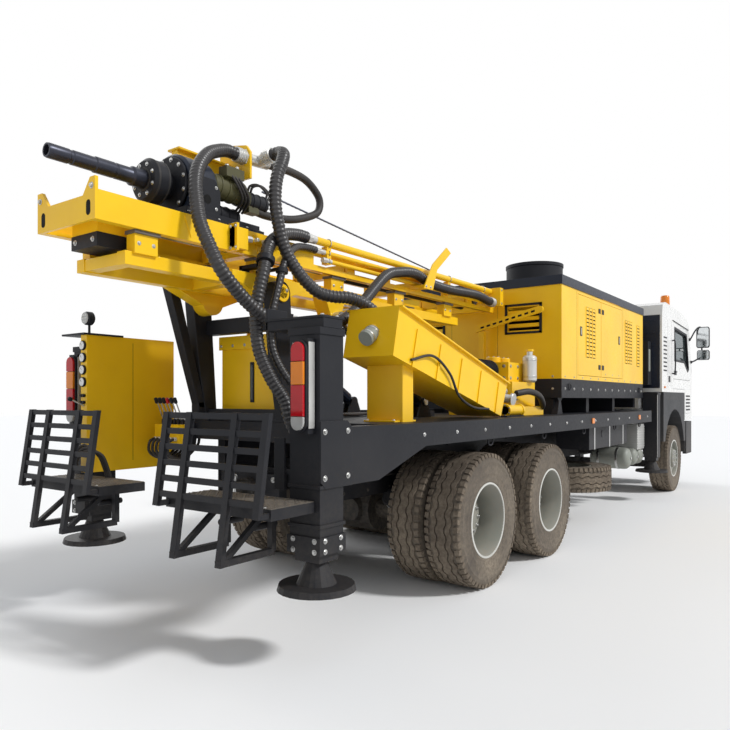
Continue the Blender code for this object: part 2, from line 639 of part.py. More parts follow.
def platform(letter, side):
    """Operator platform at the rear with its leaning guard panel."""
    x0, x1 = PLATFORM_X
    y0, y1 = PLATFORM_Y
    solids = [box((x0, x1), sided(side, (y0, y1)), (PLATFORM_TOP - PLATFORM_T, PLATFORM_TOP))]
    lean = (x0 - GUARD_FOOT_X) / (GUARD_TOP - GUARD_FOOT_Z)

    def guard_x(z):
        return GUARD_FOOT_X + lean * (z - GUARD_FOOT_Z)

    # Uprights: distance from the middle plane, foot height
    uprights = ((y0 + 0.02, PLATFORM_TOP - 0.04), (0.57, GUARD_FOOT_Z), (0.945, GUARD_FOOT_Z), (y1 - 0.02, PLATFORM_TOP - 0.04))
    def bar(start, end, y, depth, width):
        """A flat bar in a plane across Y, from one (X, Z) point to another."""
        (xa, za), (xb, zb) = start, end
        if abs(xb - xa) > abs(zb - za):
            corners = [(xa, za - depth / 2), (xb, zb - depth / 2), (xb, zb + depth / 2), (xa, za + depth / 2)]
        else:
            corners = [(xa - depth / 2, za), (xa + depth / 2, za), (xb + depth / 2, zb), (xb - depth / 2, zb)]
        return prism(corners, sided(side, (y - width / 2, y + width / 2)))

    for y, foot in uprights:
        solids.append(bar((guard_x(foot), foot), (guard_x(GUARD_TOP), GUARD_TOP), y, 0.03, 0.045))
    for i in range(GUARD_BARS):
        z = PLATFORM_TOP + 0.03 + i * (GUARD_TOP - PLATFORM_TOP - 0.05) / (GUARD_BARS - 1)
        half = 0.017
        solids.append(box((guard_x(z) - 0.01, guard_x(z) + 0.01), sided(side, (y0 + 0.01, y1 - 0.01)), (z - half, z + half)))
    for y in (0.57, 0.945):
        solids.append(bar((GUARD_FOOT_X - 0.014, GUARD_FOOT_Z + 0.018), (-2.20, GUARD_FOOT_Z + 0.018), y, 0.036, 0.041))
        solids.append(bar((-2.20, GUARD_FOOT_Z + 0.02), (-2.20, PLATFORM_TOP - 0.03), y, 0.036, 0.037))
        solids.append(bar((GUARD_FOOT_X + 0.02, GUARD_FOOT_Z + 0.02), (-2.23, PLATFORM_TOP - 0.04), y, 0.036, 0.033))
    z_link = PLATFORM_TOP - 0.03
    for y in (y0 + 0.0225, y1 - 0.0225):
        solids.append(bar((guard_x(z_link), z_link), (x0 + 0.03, z_link), y, 0.03, 0.03))
    return part(f"platform_{letter}", BLACK, solids)


def console():
    """Control cabinet at the left rear, with its thin rain shield and work lamp."""
    x0, x1 = -2.20, -1.42
    y0, y1 = 0.93, POST_Y[0] - SEAT
    solids = [
        box((x0, x1), (y0, y1), (PLATFORM_TOP + SEAT, 2.00)),
        box((x0 - 0.03, x0 + 0.30), (y0, y1 + 0.22), (2.00 - 0.005, 2.012)),
        rod((x0 + 0.12, y0 + 0.03, 2.0), (x0 + 0.12, y0 + 0.03, 2.07), 0.012, sides=8),
        rod((x0 + 0.08, y0 + 0.03, 2.11), (x0 + 0.15, y0 + 0.03, 2.11), 0.062, sides=16),
        rod((x0 - 0.10, y0 + 0.035, 1.52), (x0 + 0.01, y0 + 0.035, 1.47), 0.012, sides=8),
    ]
    return part("console", YELLOW, solids)


def centre_tank():
    solids = [
        box((-1.43, -1.02), (-0.33, 0.33), (DECK_TOP + SEAT, 1.95)),
        box((-1.45, -1.00), (-0.345, 0.345), (1.90, 2.00)),
    ]
    return part("centre_tank", YELLOW, solids)


def mast_support():
    """Hinge posts beside the mast, with arms out to the rear jack posts."""
    solids = []
    cuts = [rod((PIVOT_X, -0.6, PIVOT_Z), (PIVOT_X, 0.6, PIVOT_Z), bore(PIVOT_R))]
    foot = DECK_TOP + SEAT
    for _, side in SIDES:
        outline = [(PIVOT_X + SUPPORT_R + 0.06, foot), (PIVOT_X + SUPPORT_R, PIVOT_Z)]
        outline += arc((PIVOT_X, PIVOT_Z), SUPPORT_R, 0, 180, 9)[1:]
        outline += [(PIVOT_X - SUPPORT_R + 0.06, 1.80), (PIVOT_X + 0.055, foot)]
        solids.append(prism(outline, sided(side, SUPPORT_Y)))
    solids.append(box((PIVOT_X + 0.06, PIVOT_X + 0.16), (-SUPPORT_Y[1] + 0.01, SUPPORT_Y[1] - 0.01), (foot, foot + 0.09)))
    return part("mast_support", BLACK, solids, cuts)


# Tilting cradle, sliding mast and rotary head

def cradle():
    solids = []
    for _, side in SIDES:
        solids.append(box(CRADLE_X, sided(side, CRADLE_Y), CRADLE_Z))
        cheek = [(-1.95, CRADLE_Z[0] + 0.02), (-1.28, CRADLE_Z[0] + 0.02)]
        cheek += arc((PIVOT_X, PIVOT_Z), 0.11, 340, 200, 9)
        solids.append(prism(cheek, sided(side, (0.24, SUPPORT_Y[0] - SEAT))))
        ear = [(LIFT_EYE[0] - 0.13, CRADLE_Z[0] + 0.02), (LIFT_EYE[0] - 0.055, LIFT_EYE[1])]
        ear += arc(LIFT_EYE, 0.055, 180, 360, 7)[1:]
        ear += [(LIFT_EYE[0] + 0.13, CRADLE_Z[0] + 0.02)]
        solids.append(prism(ear, sided(side, (0.27, LIFT_Y - LIFT_EYE_HALF - SEAT))))
        solids.append(rod((LIFT_EYE[0], side * 0.28, LIFT_EYE[1]), (LIFT_EYE[0], side * (LIFT_Y + 0.05), LIFT_EYE[1]), LIFT_PIN_R))
        solids.append(box((CRADLE_X[0] + 0.05, CRADLE_X[1] - 0.05), sided(side, (CRADLE_Y[1] - 0.045, CRADLE_Y[1])), (CRADLE_Z[1] - 0.01, MAST_BOTTOM - SEAT)))
    solids.append(rod((PIVOT_X, -0.49, PIVOT_Z), (PIVOT_X, 0.49, PIVOT_Z), PIVOT_R))
    for x in (-2.63, -1.80, -1.25, -0.35, 0.45, 1.25):
        solids.append(box((x - 0.045, x + 0.045), (-CRADLE_Y[1] + 0.01, CRADLE_Y[1] - 0.01), (CRADLE_Z[0] + 0.01, CRADLE_Z[1] - 0.02)))
    return part("cradle", YELLOW, solids, pivot=(PIVOT_X, 0, PIVOT_Z))


def mast():
    """Feed beam: two side plates with lattice windows, cross members, end plate, pipes and hose guard."""
    solids = []
    inner = MAST_HALF_W - MAST_SIDE_T
    for _, side in SIDES:
        side_plate = [(MAST_REAR_X + 0.01, MAST_BOTTOM), (MAST_FRONT_X, MAST_BOTTOM), (MAST_FRONT_X, MAST_TOP), (MAST_REAR_X + 0.01, MAST_TOP)]
        windows = []
        for i in range(6):
            x = -1.08 + i * 0.52
            windows.append([(x, MAST_BOTTOM + 0.045), (x + 0.42, MAST_BOTTOM + 0.045), (x + 0.42, MAST_TOP - 0.06), (x, MAST_TOP - 0.06)])
        solids.append(prism(side_plate, sided(side, (inner + 0.03, MAST_HALF_W)), holes=windows))
        solids.append(box((MAST_REAR_X + 0.01, MAST_FRONT_X), sided(side, (inner, MAST_HALF_W)), (MAST_TOP - 0.025, MAST_TOP)))
        solids.append(box((MAST_REAR_X + 0.01, MAST_FRONT_X), sided(side, (inner, MAST_HALF_W)), (MAST_BOTTOM, MAST_BOTTOM + 0.025)))
    end_plate = [
        (-MAST_HALF_W, MAST_BOTTOM), (MAST_HALF_W, MAST_BOTTOM), (MAST_HALF_W, MAST_TOP + 0.07), (MAST_HALF_W - 0.05, MAST_TOP + 0.07),
        (MAST_HALF_W - 0.12, MAST_TOP - 0.02), (-MAST_HALF_W + 0.12, MAST_TOP - 0.02), (-MAST_HALF_W + 0.05, MAST_TOP + 0.07), (-MAST_HALF_W, MAST_TOP + 0.07),
    ]
    eyes = [circle((side * 0.235, MAST_TOP - 0.10), 0.03, 12) for _, side in SIDES]
    solids.append(prism(end_plate, (MAST_REAR_X, MAST_REAR_X + 0.02), "X", holes=eyes))
    for x in (-2.45, -1.65, -0.62, 0.42, 1.46, 2.03):
        solids.append(box((x - 0.04, x + 0.04), (-inner - 0.02, inner + 0.02), (MAST_BOTTOM + 0.02, MAST_TOP - 0.05)))
    pipe_y = -MAST_HALF_W - 0.035
    for z, radius, rear in ((MAST_TOP + 0.055, 0.03, -1.21), (MAST_TOP - 0.02, 0.018, -1.10), (MAST_TOP - 0.08, 0.018, -1.02)):
        solids.append(rod((rear, pipe_y, z), (2.01, pipe_y, z), radius, sides=8))
    for x in (-0.95, 0.95, 1.80):
        solids.append(box((x - 0.02, x + 0.02), (pipe_y - 0.012, -MAST_HALF_W + 0.01), (MAST_TOP - 0.10, MAST_TOP + 0.05)))
    guard = [(0.24, MAST_TOP - 0.14), (0.40, MAST_TOP - 0.14), (0.48, MAST_TOP + 0.06), (0.74, MAST_TOP + 0.26), (0.66, MAST_TOP + 0.30), (0.40, MAST_TOP + 0.10)]
    solids.append(prism(guard, (pipe_y - 0.045, pipe_y - 0.033)))
    solids.append(box((0.26, 0.38), (pipe_y - 0.04, -MAST_HALF_W + 0.01), (MAST_TOP - 0.13, MAST_TOP - 0.105)))
    return part("mast", YELLOW, solids, pivot=(MAST_REAR_X, 0, MAST_TOP))


def rotary_head():
    """Gearbox on its carriage, with drive motors, the swivel drum and the hose bracket with its loop."""
    x0, x1 = HEAD_X
    low = MAST_TOP + SEAT
    solids = [
        box((x0 - 0.10, x1 + 0.12), (-MAST_HALF_W + 0.01, MAST_HALF_W - 0.01), (low, low + 0.06)),
        box((x0, x1), (-HEAD_Y, HEAD_Y), (low + 0.05, SPINDLE_Z)),
        rod((x0, 0, SPINDLE_Z), (x1, 0, SPINDLE_Z), HEAD_TOP - SPINDLE_Z, sides=20),
        rod((x0 - 0.20, 0, SPINDLE_Z), (x0 - 0.06, 0, SPINDLE_Z), HEAD_DRUM_R, sides=20),
        rod((x0 - 0.07, 0, SPINDLE_Z), (x0 + 0.01, 0, SPINDLE_Z), 0.085),
        rod((HOSE_HEAD[0][0], -0.12, HOSE_HEAD[0][2]), (HOSE_HEAD[0][0], HOSE_HEAD[0][1] + SEAT, HOSE_HEAD[0][2]), HOSE_R + 0.008, sides=12),
        box((x1 - 0.20, x1 + 0.10), (-0.05, 0.05), (3.05, 3.26)),
    ]
    # Drive motors on the front face: side distance, height, radius, length
    for y, z, radius, length in ((-0.13, 2.99, 0.07, 0.26), (0.13, 2.99, 0.07, 0.26), (-0.06, 2.82, 0.06, 0.30)):
        solids.append(rod((x1 - 0.02, y, z), (x1 + length, y, z), radius, sides=12))
    bracket = [(-0.20, 3.20), (0.10, 3.20), (0.10, 3.40), (-0.16, 3.40), (-0.20, 3.34)]
    solids.append(prism(bracket, (x1 + 0.08, x1 + 0.10), "X"))
    solids.append(box((x1 - 0.35, x1 + 0.09), (-0.06, 0.06), (3.24, 3.26)))
    return part("rotary_head", BLACK, solids, pivot=(x0, 0, low))


def spindle():
    """Turning output rod with its two shoulders."""
    face = HEAD_X[0] - 0.20 - SEAT
    z = SPINDLE_Z
    solids = [
        rod((SPINDLE_TIP_X, 0, z), (face - 0.10, 0, z), SPINDLE_ROD_R),
        rod((face - 0.34, 0, z), (face - 0.08, 0, z), SPINDLE_ROD_R + 0.005),
        rod((face - 0.10, 0, z), (face, 0, z), SPINDLE_ROD_R + 0.017),
    ]
    return part("spindle", STEEL, solids, pivot=(face, 0, z))


def lift_cylinder(letter, side):
    """Mast lift cylinder: barrel on the deck pin and rod with its eye on the cradle's pin."""
    base = Vector((LIFT_BASE[0], side * LIFT_Y, LIFT_BASE[1]))
    eye = Vector((LIFT_EYE[0], side * LIFT_Y, LIFT_EYE[1]))
    along = (eye - base).normalized()
    reach = (eye - base).length
    head = reach - 0.13
    ring = 0.05
    pin_gap = bore(LIFT_PIN_R)
    y_span = (side * LIFT_Y - LIFT_EYE_HALF, side * LIFT_Y + LIFT_EYE_HALF)
    barrel = [
        rod(base + along * 0.075, base + along * head, LIFT_BARREL_R),
        rod(base, base + along * 0.09, 0.028),
        rod((base.x, y_span[0], base.z), (base.x, y_span[1], base.z), ring),
    ]
    hole = [
        rod((base.x, base.y - 0.1, base.z), (base.x, base.y + 0.1, base.z), pin_gap),
        rod(base + along * 0.10, base + along * (head + 0.1), bore(LIFT_ROD_R)),
    ]
    part(f"lift_barrel_{letter}", BLACK, barrel, hole, pivot=base)
    rod_part = [
        rod(base + along * 0.11, eye - along * 0.03, LIFT_ROD_R),
        rod((eye.x, y_span[0], eye.z), (eye.x, y_span[1], eye.z), ring),
    ]
    hole = [rod((eye.x, eye.y - 0.1, eye.z), (eye.x, eye.y + 0.1, eye.z), pin_gap)]
    part(f"lift_rod_{letter}", STEEL, rod_part, hole, pivot=eye)


# Deck equipment

def trough():
    """Inclined open trough on the right side, with its leg."""
    outer = [(-1.19, 1.82), (0.52, 1.375), (0.66, 1.67), (-1.11, 2.17)]
    w = TROUGH_WALL
    inner = [(-1.16, 1.837), (0.51, 1.402), (0.72, 1.86), (-1.05, 2.36)]
    solids = [prism(outer, TROUGH_Y)]
    cuts = [prism(inner, (TROUGH_Y[0] + w, TROUGH_Y[1] - w))]
    solids.append(box((-0.98, -0.84), (TROUGH_Y[0] + 0.06, TROUGH_Y[1] - 0.06), (DECK_TOP + SEAT, 1.79)))
    return part("trough", YELLOW, solids, cuts)


def pump_unit():
    """Pump and valve block with its canister, in front of the compressor."""
    floor = DECK_TOP + SEAT
    solids = [
        box((1.20, 1.90), (-0.95, -0.20), (floor, 1.72)),
        box((1.35, 1.80), (-0.80, -0.35), (1.70, 1.90)),
        rod((1.70, -0.86, 1.70), (1.70, -0.86, 2.05), 0.07),
        rod((1.30, -0.60, 1.85), (0.95, -0.60, 1.85), 0.06),
        box((1.00, 1.40), (-0.70, -0.50), (1.70, 1.80)),
        rod((0.85, -1.02, 1.46), (1.25, -0.80, 1.50), 0.05),
    ]
    return part("pump_unit", YELLOW, solids)


def compressor_base():
    solids = [box(HOUSE_X, (-HOUSE_Y, HOUSE_Y), HOUSE_BASE_Z)]
    for x in (2.25, 3.35, 4.45, 5.50):
        solids.append(box((x - 0.05, x + 0.05), (-0.95, 0.95), (DECK_TOP + SEAT if x < DECK_FRONT_X else 1.40, HOUSE_BASE_Z[0] + 0.01)))
    return part("compressor_base", BLACK, solids)


def compressor_block():
    """Plain block for the compressor and its engine, inside the housing."""
    z0 = HOUSE_BASE_Z[1] + SEAT
    solids = [
        box((2.55, 3.90), (-0.55, 0.55), (z0, 2.55)),
        box((3.85, 5.00), (-0.62, 0.62), (z0, 2.35)),
    ]
    return part("compressor_block", GREY, solids)


HOUSE_DOORS = (("1", 2.70, 3.565, -1), ("2", 3.575, 4.50, 1))  # name, rear edge, front edge, hinge end


def compressor_housing():
    """Hollow housing with door openings, rear louvres, roof edge and the round vent."""
    z0 = HOUSE_BASE_Z[1] + SEAT
    w = HOUSE_WALL
    x0, x1 = HOUSE_X
    pins = []
    solids = [
        box(HOUSE_X, (-HOUSE_Y, HOUSE_Y), (z0, HOUSE_TOP)),
        box((x0 - 0.01, x1 + 0.01), (-HOUSE_Y - 0.01, HOUSE_Y + 0.01), (HOUSE_TOP - 0.01, ROOF_TOP)),
        rod((VENT_X, 0, ROOF_TOP - 0.01), (VENT_X, 0, VENT_TOP), VENT_R, sides=24),
    ]
    cuts = [
        box((x0 + w, x1 - w), (-HOUSE_Y + w, HOUSE_Y - w), (z0 - 0.01, HOUSE_TOP)),
        rod((VENT_X, 0, HOUSE_TOP - 0.05), (VENT_X, 0, VENT_TOP + 0.01), VENT_R - 0.03, sides=24),
    ]
    for _, rear, front, _ in HOUSE_DOORS:
        cuts.append(box((rear, front), (-HOUSE_Y - 0.02, HOUSE_Y + 0.02), HOUSE_DOOR_Z))
    for _, rear, front, end in HOUSE_DOORS:
        hinge_x = front - DOOR_GAP - 0.02 if end < 0 else rear + DOOR_GAP + 0.02
        for _, side in SIDES:
            pin_y = side * (HOUSE_Y - HOUSE_WALL / 2)
            for low, high in ((HOUSE_DOOR_Z[0] - 0.01, HOUSE_DOOR_Z[0] + DOOR_GAP - SEAT), (HOUSE_DOOR_Z[1] - DOOR_GAP + SEAT, HOUSE_DOOR_Z[1] + 0.01)):
                pins.append(rod((hinge_x, pin_y, low), (hinge_x, pin_y, high), 0.01, sides=8))
    for i in range(4):
        z = 2.30 + 0.075 * i
        cuts.append(box((x0 - 0.01, x0 + w + 0.01), (-0.80, -0.42), (z, z + 0.035)))
        cuts.append(box((x0 - 0.01, x0 + w + 0.01), (0.42, 0.80), (z, z + 0.035)))
    shell = combined(combined(solids[0], solids[1:], "UNION"), cuts, "DIFFERENCE")
    return part("compressor_housing", YELLOW, [shell, *pins])


def house_door(number, rear, front, end, letter, side):
    gap = DOOR_GAP
    y = sided(side, (HOUSE_Y - HOUSE_WALL, HOUSE_Y))
    hinge_x = front - gap if end < 0 else rear + gap
    solids = [box((rear + gap, front - gap), y, (HOUSE_DOOR_Z[0] + gap, HOUSE_DOOR_Z[1] - gap))]
    return part(f"house_door_{number}_{letter}", YELLOW, solids, pivot=(hinge_x, side * HOUSE_Y, HOUSE_DOOR_Z[0]))


# Cab

CAB_SIDE = [
    (6.15, 1.64), (8.47, 1.64), (8.50, 1.95), (8.24, 2.80), (8.08, 2.93), (7.60, 3.00), (6.40, 3.06), (6.20, 3.00), (6.15, 2.85),
]
DOOR_SIDE = [(6.92, 1.70), (7.84, 1.70), (7.92, 1.28), (8.36, 1.28), (8.38, 1.95), (8.12, 2.74), (6.92, 2.80)]
DOOR_WINDOW = [(7.04, 2.17), (7.80, 2.17), (8.10, 2.02), (8.20, 2.06), (8.00, 2.66), (7.04, 2.71)]
SCREEN_LOW = (8.50, 1.98)
SCREEN_HIGH = (8.26, 2.765)


def grown(outline, gap):
    """The outline moved outwards by a gap, corner by corner, for a shape with no sharp corners."""
    count = len(outline)
    made = []
    for i, point in enumerate(outline):
        before = Vector(outline[i - 1])
        here = Vector(point)
        after = Vector(outline[(i + 1) % count])
        n1 = Vector(((here - before).y, -(here - before).x)).normalized()
        n2 = Vector(((after - here).y, -(after - here).x)).normalized()
        way = (n1 + n2).normalized()
        shift = way * (gap / max(0.35, way.dot(n1)))
        made.append(tuple(here + shift))
    return made


def cab_shell():
    inner = grown(CAB_SIDE, -CAB_WALL)
    arch_y = 0.85
    floor = CAB_FLOOR
    solids = [
        prism(CAB_SIDE, (-CAB_Y, CAB_Y)),
        box((CAB_X[0], 8.46), (-arch_y, arch_y), (floor, 1.70)),
        box((7.86, 8.46), (-CAB_Y, CAB_Y), (CAB_FRONT_FLOOR, 1.70)),
    ]
    cuts = [
        prism(inner, (-CAB_Y + CAB_WALL, CAB_Y - CAB_WALL)),
        box((CAB_X[0] + CAB_WALL, 8.40), (-arch_y + CAB_WALL, arch_y - CAB_WALL), (floor + CAB_WALL, 1.75)),
        box((7.92, 8.40), (-CAB_Y + CAB_WALL, CAB_Y - CAB_WALL), (1.22, 1.75)),
    ]
    door = grown(DOOR_SIDE, DOOR_GAP)
    for _, side in SIDES:
        cuts.append(prism(door, sided(side, (CAB_Y - CAB_WALL - 0.03, CAB_Y + 0.05))))
    screen = [SCREEN_LOW, SCREEN_HIGH]
    way = (Vector(SCREEN_HIGH) - Vector(SCREEN_LOW)).normalized()
    out = Vector((way.y, -way.x))
    pane = [Vector(screen[0]) - out * 0.2, Vector(screen[0]) + out * 0.1, Vector(screen[1]) + out * 0.1, Vector(screen[1]) - out * 0.2]
    cuts.append(prism([tuple(p) for p in pane], (-1.06, 1.06)))
    shell = combined(combined(solids[0], solids[1:], "UNION"), cuts, "DIFFERENCE")
    added = [box((7.65, 7.85), (-1.00, -0.80), (2.94, BEACON_Z))]
    for _, side in SIDES:
        added.append(box((8.30, 8.35), sided(side, (CAB_Y - 0.05, CAB_Y - 0.01)), (1.26, 1.28 - SEAT)))
    return part("cab_shell", WHITE, [shell, *added])


def windscreen():
    way = (Vector(SCREEN_HIGH) - Vector(SCREEN_LOW)).normalized()
    out = Vector((way.y, -way.x))
    low = Vector(SCREEN_LOW) + way * SEAT
    high = Vector(SCREEN_HIGH) - way * SEAT
    pane = [low - out * 0.02, low - out * (0.02 - GLASS_T), high - out * (0.02 - GLASS_T), high - out * 0.02]
    return part("windscreen", GLASS, [prism([tuple(p) for p in pane], (-1.06 + SEAT, 1.06 - SEAT))])


def cab_door(letter, side):
    solids = [prism(DOOR_SIDE, sided(side, (CAB_Y - CAB_WALL, CAB_Y)))]
    cuts = [prism(DOOR_WINDOW, sided(side, (CAB_Y - 0.2, CAB_Y + 0.1)))]
    return part(f"cab_door_{letter}", WHITE, solids, cuts, pivot=(HINGE_X, side * CAB_Y, 1.28))


def cab_interior():
    """Floor, seats, dashboard and steering wheel as one inner piece."""
    floor = CAB_FLOOR + CAB_WALL + SEAT
    solids = [box((6.25, 8.36), (-0.77, 0.77), (floor, floor + 0.03))]
    for _, side in SIDES:
        solids.append(box((7.00, 7.50), sided(side, (0.28, 0.76)), (floor + 0.02, 1.95)))
        solids.append(box((6.95, 7.08), sided(side, (0.30, 0.74)), (1.90, 2.55)))
    solids.append(box((8.00, 8.28), (-0.76, 0.76), (floor + 0.02, 2.05)))
    solids.append(rod((8.05, 0.52, 2.00), (7.82, 0.52, 2.16), 0.03, sides=10))
    solids.append(rod((7.835, 0.52, 2.145), (7.81, 0.52, 2.165), 0.21, sides=20))
    solids.append(box((6.25, 6.80), (-0.76, 0.76), (floor + 0.02, 1.80)))
    return part("cab_interior", GREY, solids)


def front_bumper():
    outline = [(7.98, 1.20), (7.98, 1.14), (8.40, 1.12), (8.53, 0.95), (8.53, -0.95), (8.40, -1.12), (7.98, -1.14), (7.98, -1.20),
               (8.44, -1.20), (8.61, -1.00), (8.61, 1.00), (8.44, 1.20)]
    solids = [
        prism(outline, (0.56, 1.13), "Z"),
        box((8.5003, 8.54), (-0.95, 0.95), (1.10, 1.86)),
        box((8.10, 8.56), (-0.423 + SEAT, -0.36), (0.76, 0.86)),
        box((8.10, 8.56), (0.36, 0.423 - SEAT), (0.76, 0.86)),
    ]
    return part("front_bumper", GREY, solids)


def mudguard(letter, side):
    """Guard over a front wheel: flat top, round arch."""
    outline = [(6.28, 0.86), (6.28, 1.64 - SEAT), (7.83, 1.64 - SEAT), (7.83, 1.14), (7.93, 1.14), (7.93, 0.80), (7.83, 0.80)]
    arch = arc((FRONT_AXLE_X, 0.62), 0.74, 14, 161, 12)
    solids = [prism(outline + arch, sided(side, (0.90, CAB_Y - 0.005)))]
    return part(f"mudguard_{letter}", GREY, solids)


def mirror(letter, side):
    y0 = CAB_Y + 0.018
    solids = [
        rod((8.37, side * y0, 2.20), (8.52, side * 1.36, 2.32), 0.014, sides=8),
        rod((8.24, side * y0, 2.60), (8.52, side * 1.34, 2.84), 0.014, sides=8),
        box((8.345, 8.395), sided(side, (CAB_Y + SEAT, y0 + 0.004)), (2.175, 2.225)),
        box((8.215, 8.265), sided(side, (CAB_Y + SEAT, y0 + 0.004)), (2.575, 2.625)),
        rod((8.52, side * 1.35, 2.28), (8.52, side * 1.35, 2.86), 0.014, sides=8),
        box((8.49, 8.56), sided(side, (1.27, 1.49)), (2.46, 2.84)),
        box((8.49, 8.56), sided(side, (1.28, 1.49)), (2.24, 2.42)),
    ]
    return part(f"mirror_{letter}", GREY, solids)


def beacon():
    z = BEACON_Z + SEAT
    return part("beacon", AMBER, [rod((7.75, -0.90, z), (7.75, -0.90, z + 0.26), 0.085, 0.075)])


def air_intake():
    """Black intake box behind the cab with its duct."""
    solids = [
        box((5.92, 6.1497), (-1.05, -0.55), (1.75, 2.75)),
        box((5.90, 6.1497), (0.55, 1.05), (1.75, 2.60)),
        box((5.98, 6.1497), (-0.60, 0.60), (1.80, 1.95)),
    ]
    return part("air_intake", BLACK, solids)


def fuel_tank():
    solids = [box((2.90, 4.30), (0.50, 1.12), (0.56, 1.10)), box((3.10, 3.20), (0.4353, 0.52), (0.60, 1.02)), box((4.00, 4.10), (0.4353, 0.52), (0.60, 1.02))]
    return part("fuel_tank", BLACK, solids)


def air_tanks():
    """Air reservoirs across the machine and the battery box, on their carrier at the right rail."""
    solids = [box((4.60, 5.60), (-0.60, -0.4353), (0.76, 0.84))]
    for x, radius in ((4.75, 0.15), (5.10, 0.12), (5.38, 0.12)):
        solids.append(rod((x, -0.55, 0.70), (x, -1.10, 0.70), radius, sides=16))
    solids.append(box((5.12, 5.50), (-1.10, -0.70), (0.80, 1.16)))
    solids.append(box((2.90, 4.50), (-1.12, -0.72), (0.93, 1.195)))
    solids.append(box((4.40, 5.20), (-0.80, -0.72), (0.94, 1.00)))
    return part("air_tanks", TANK_GREY, solids)


def hoses():
    route = [HOSE_HEAD[0]] + smooth_route(HOSE_HEAD[1:], 0.11)
    part("hose_head", RUBBER, [tube(route, HOSE_R)])


def build():
    truck_frame()
    rear_springs()
    for number, x in enumerate(REAR_AXLE_X, 1):
        rear_axle(number, x)
        for letter, side in SIDES:
            twin_wheel(number, x, letter, side)
    front_axle()
    for letter, side in SIDES:
        knuckle(letter, side)
        front_wheel(letter, side)
    power_train()
    spare_wheel()
    deck_frame()
    for letter, side in SIDES:
        jack_leg(f"jack_leg_rear_{letter}", POST_X, POST_Y, POST_TOP, side)
        jack_leg(f"jack_leg_front_{letter}", FRONT_POST_X, FRONT_POST_Y, FRONT_POST_TOP, side)
        platform(letter, side)
    console()
    centre_tank()
    mast_support()
    cradle()
    mast()
    rotary_head()
    spindle()
    for letter, side in SIDES:
        lift_cylinder(letter, side)
    trough()
    pump_unit()
    compressor_base()
    compressor_block()
    compressor_housing()
    for letter, side in SIDES:
        for number, rear, front, end in HOUSE_DOORS:
            house_door(number, rear, front, end, letter, side)
    cab_shell()
    windscreen()
    cab_interior()
    front_bumper()
    for letter, side in SIDES:
        cab_door(letter, side)
        mudguard(letter, side)
        mirror(letter, side)
    beacon()
    air_intake()
    fuel_tank()
    air_tanks()
    hoses()


build()
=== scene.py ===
"""Looks of the truck-mounted water well drilling rig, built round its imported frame.

Metres. Lengths along the machine are measured from the rearmost axle, as on the machine's own drawing,
and placed() brings each new piece into the frame, whose origin is the middle of the machine.
"""
import math

import bmesh
import bpy
from mathutils import Matrix, Vector


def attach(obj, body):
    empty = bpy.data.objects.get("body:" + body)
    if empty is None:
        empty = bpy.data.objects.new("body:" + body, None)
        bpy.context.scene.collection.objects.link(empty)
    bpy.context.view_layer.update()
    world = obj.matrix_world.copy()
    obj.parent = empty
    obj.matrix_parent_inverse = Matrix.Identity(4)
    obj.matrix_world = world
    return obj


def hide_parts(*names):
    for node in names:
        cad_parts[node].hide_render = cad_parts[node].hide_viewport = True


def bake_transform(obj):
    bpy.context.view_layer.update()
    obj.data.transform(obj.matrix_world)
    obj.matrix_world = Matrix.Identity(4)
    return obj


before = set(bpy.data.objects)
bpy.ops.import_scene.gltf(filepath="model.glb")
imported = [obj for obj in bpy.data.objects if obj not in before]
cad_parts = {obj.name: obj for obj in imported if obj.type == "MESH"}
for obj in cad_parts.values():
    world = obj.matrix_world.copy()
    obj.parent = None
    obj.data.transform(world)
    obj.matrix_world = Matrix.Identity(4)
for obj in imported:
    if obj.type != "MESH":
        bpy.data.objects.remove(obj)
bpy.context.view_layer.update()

MID_X = 2.80            # middle of the machine, from the rearmost axle
SIDES = (("L", 1), ("R", -1))

# Places that the frame also has
TYRE_R = 0.5453
TYRE_W = 0.30
RIM_R = 0.30
AXLE_Z = TYRE_R
TWIN_OUTER_Y = 1.245
TWIN_GAP = 0.045
FRONT_OUTER_Y = 1.19
REAR_AXLE_X = (1.37, 0.0)
FRONT_AXLE_X = 7.10
SPARE = (3.40, -0.66, 0.555)
DECK_TOP = 1.36
MAST_TOP = 2.67
MAST_BOTTOM = 2.505
MAST_REAR_X = -2.90
MAST_FRONT_X = 2.08
HEAD_X = (-2.18, -1.95)
MAST_HALF_W = 0.30
SPINDLE_Z = 2.91
HOUSE_X = (2.17, 5.60)
HOUSE_Y = 1.05
ROOF_TOP = 2.88
VENT_X = 4.00
POST_X = (-2.12, -1.91)
POST_Y = (1.01, 1.235)
POST_TOP = 1.92
PLATFORM_X = (-2.47, -2.12)
PLATFORM_TOP = 0.95
CAB_Y = 1.20
TROUGH_Y = (-1.10, -0.67)
DECK_HALF_W = 1.235
RAIL_Y = 0.435
SEAT = 0.0003           # gap between pieces that rest on each other

# Camera of the photograph
PHOTO_SIDE = 730
FOCAL_PX = 671.4
HORIZON_PX = 399.5
CAMERA_PLACE = (-4.974, -3.634, 1.521)
CAMERA_YAW = 36.204     # degrees from the machine's long axis


def camera():
    data = bpy.data.cameras.new("photo_camera")
    data.sensor_width = 36.0
    data.lens = FOCAL_PX / PHOTO_SIDE * data.sensor_width
    data.shift_y = (HORIZON_PX - PHOTO_SIDE / 2) / PHOTO_SIDE
    made = bpy.data.objects.new("photo_camera", data)
    made.location = (CAMERA_PLACE[0] - MID_X, CAMERA_PLACE[1], CAMERA_PLACE[2])
    made.rotation_euler = (math.pi / 2, 0.0, math.radians(CAMERA_YAW - 90.0))
    bpy.context.scene.collection.objects.link(made)
    bpy.context.scene.camera = made


# Finishes

def link(tree, source, target):
    tree.links.new(source, target)


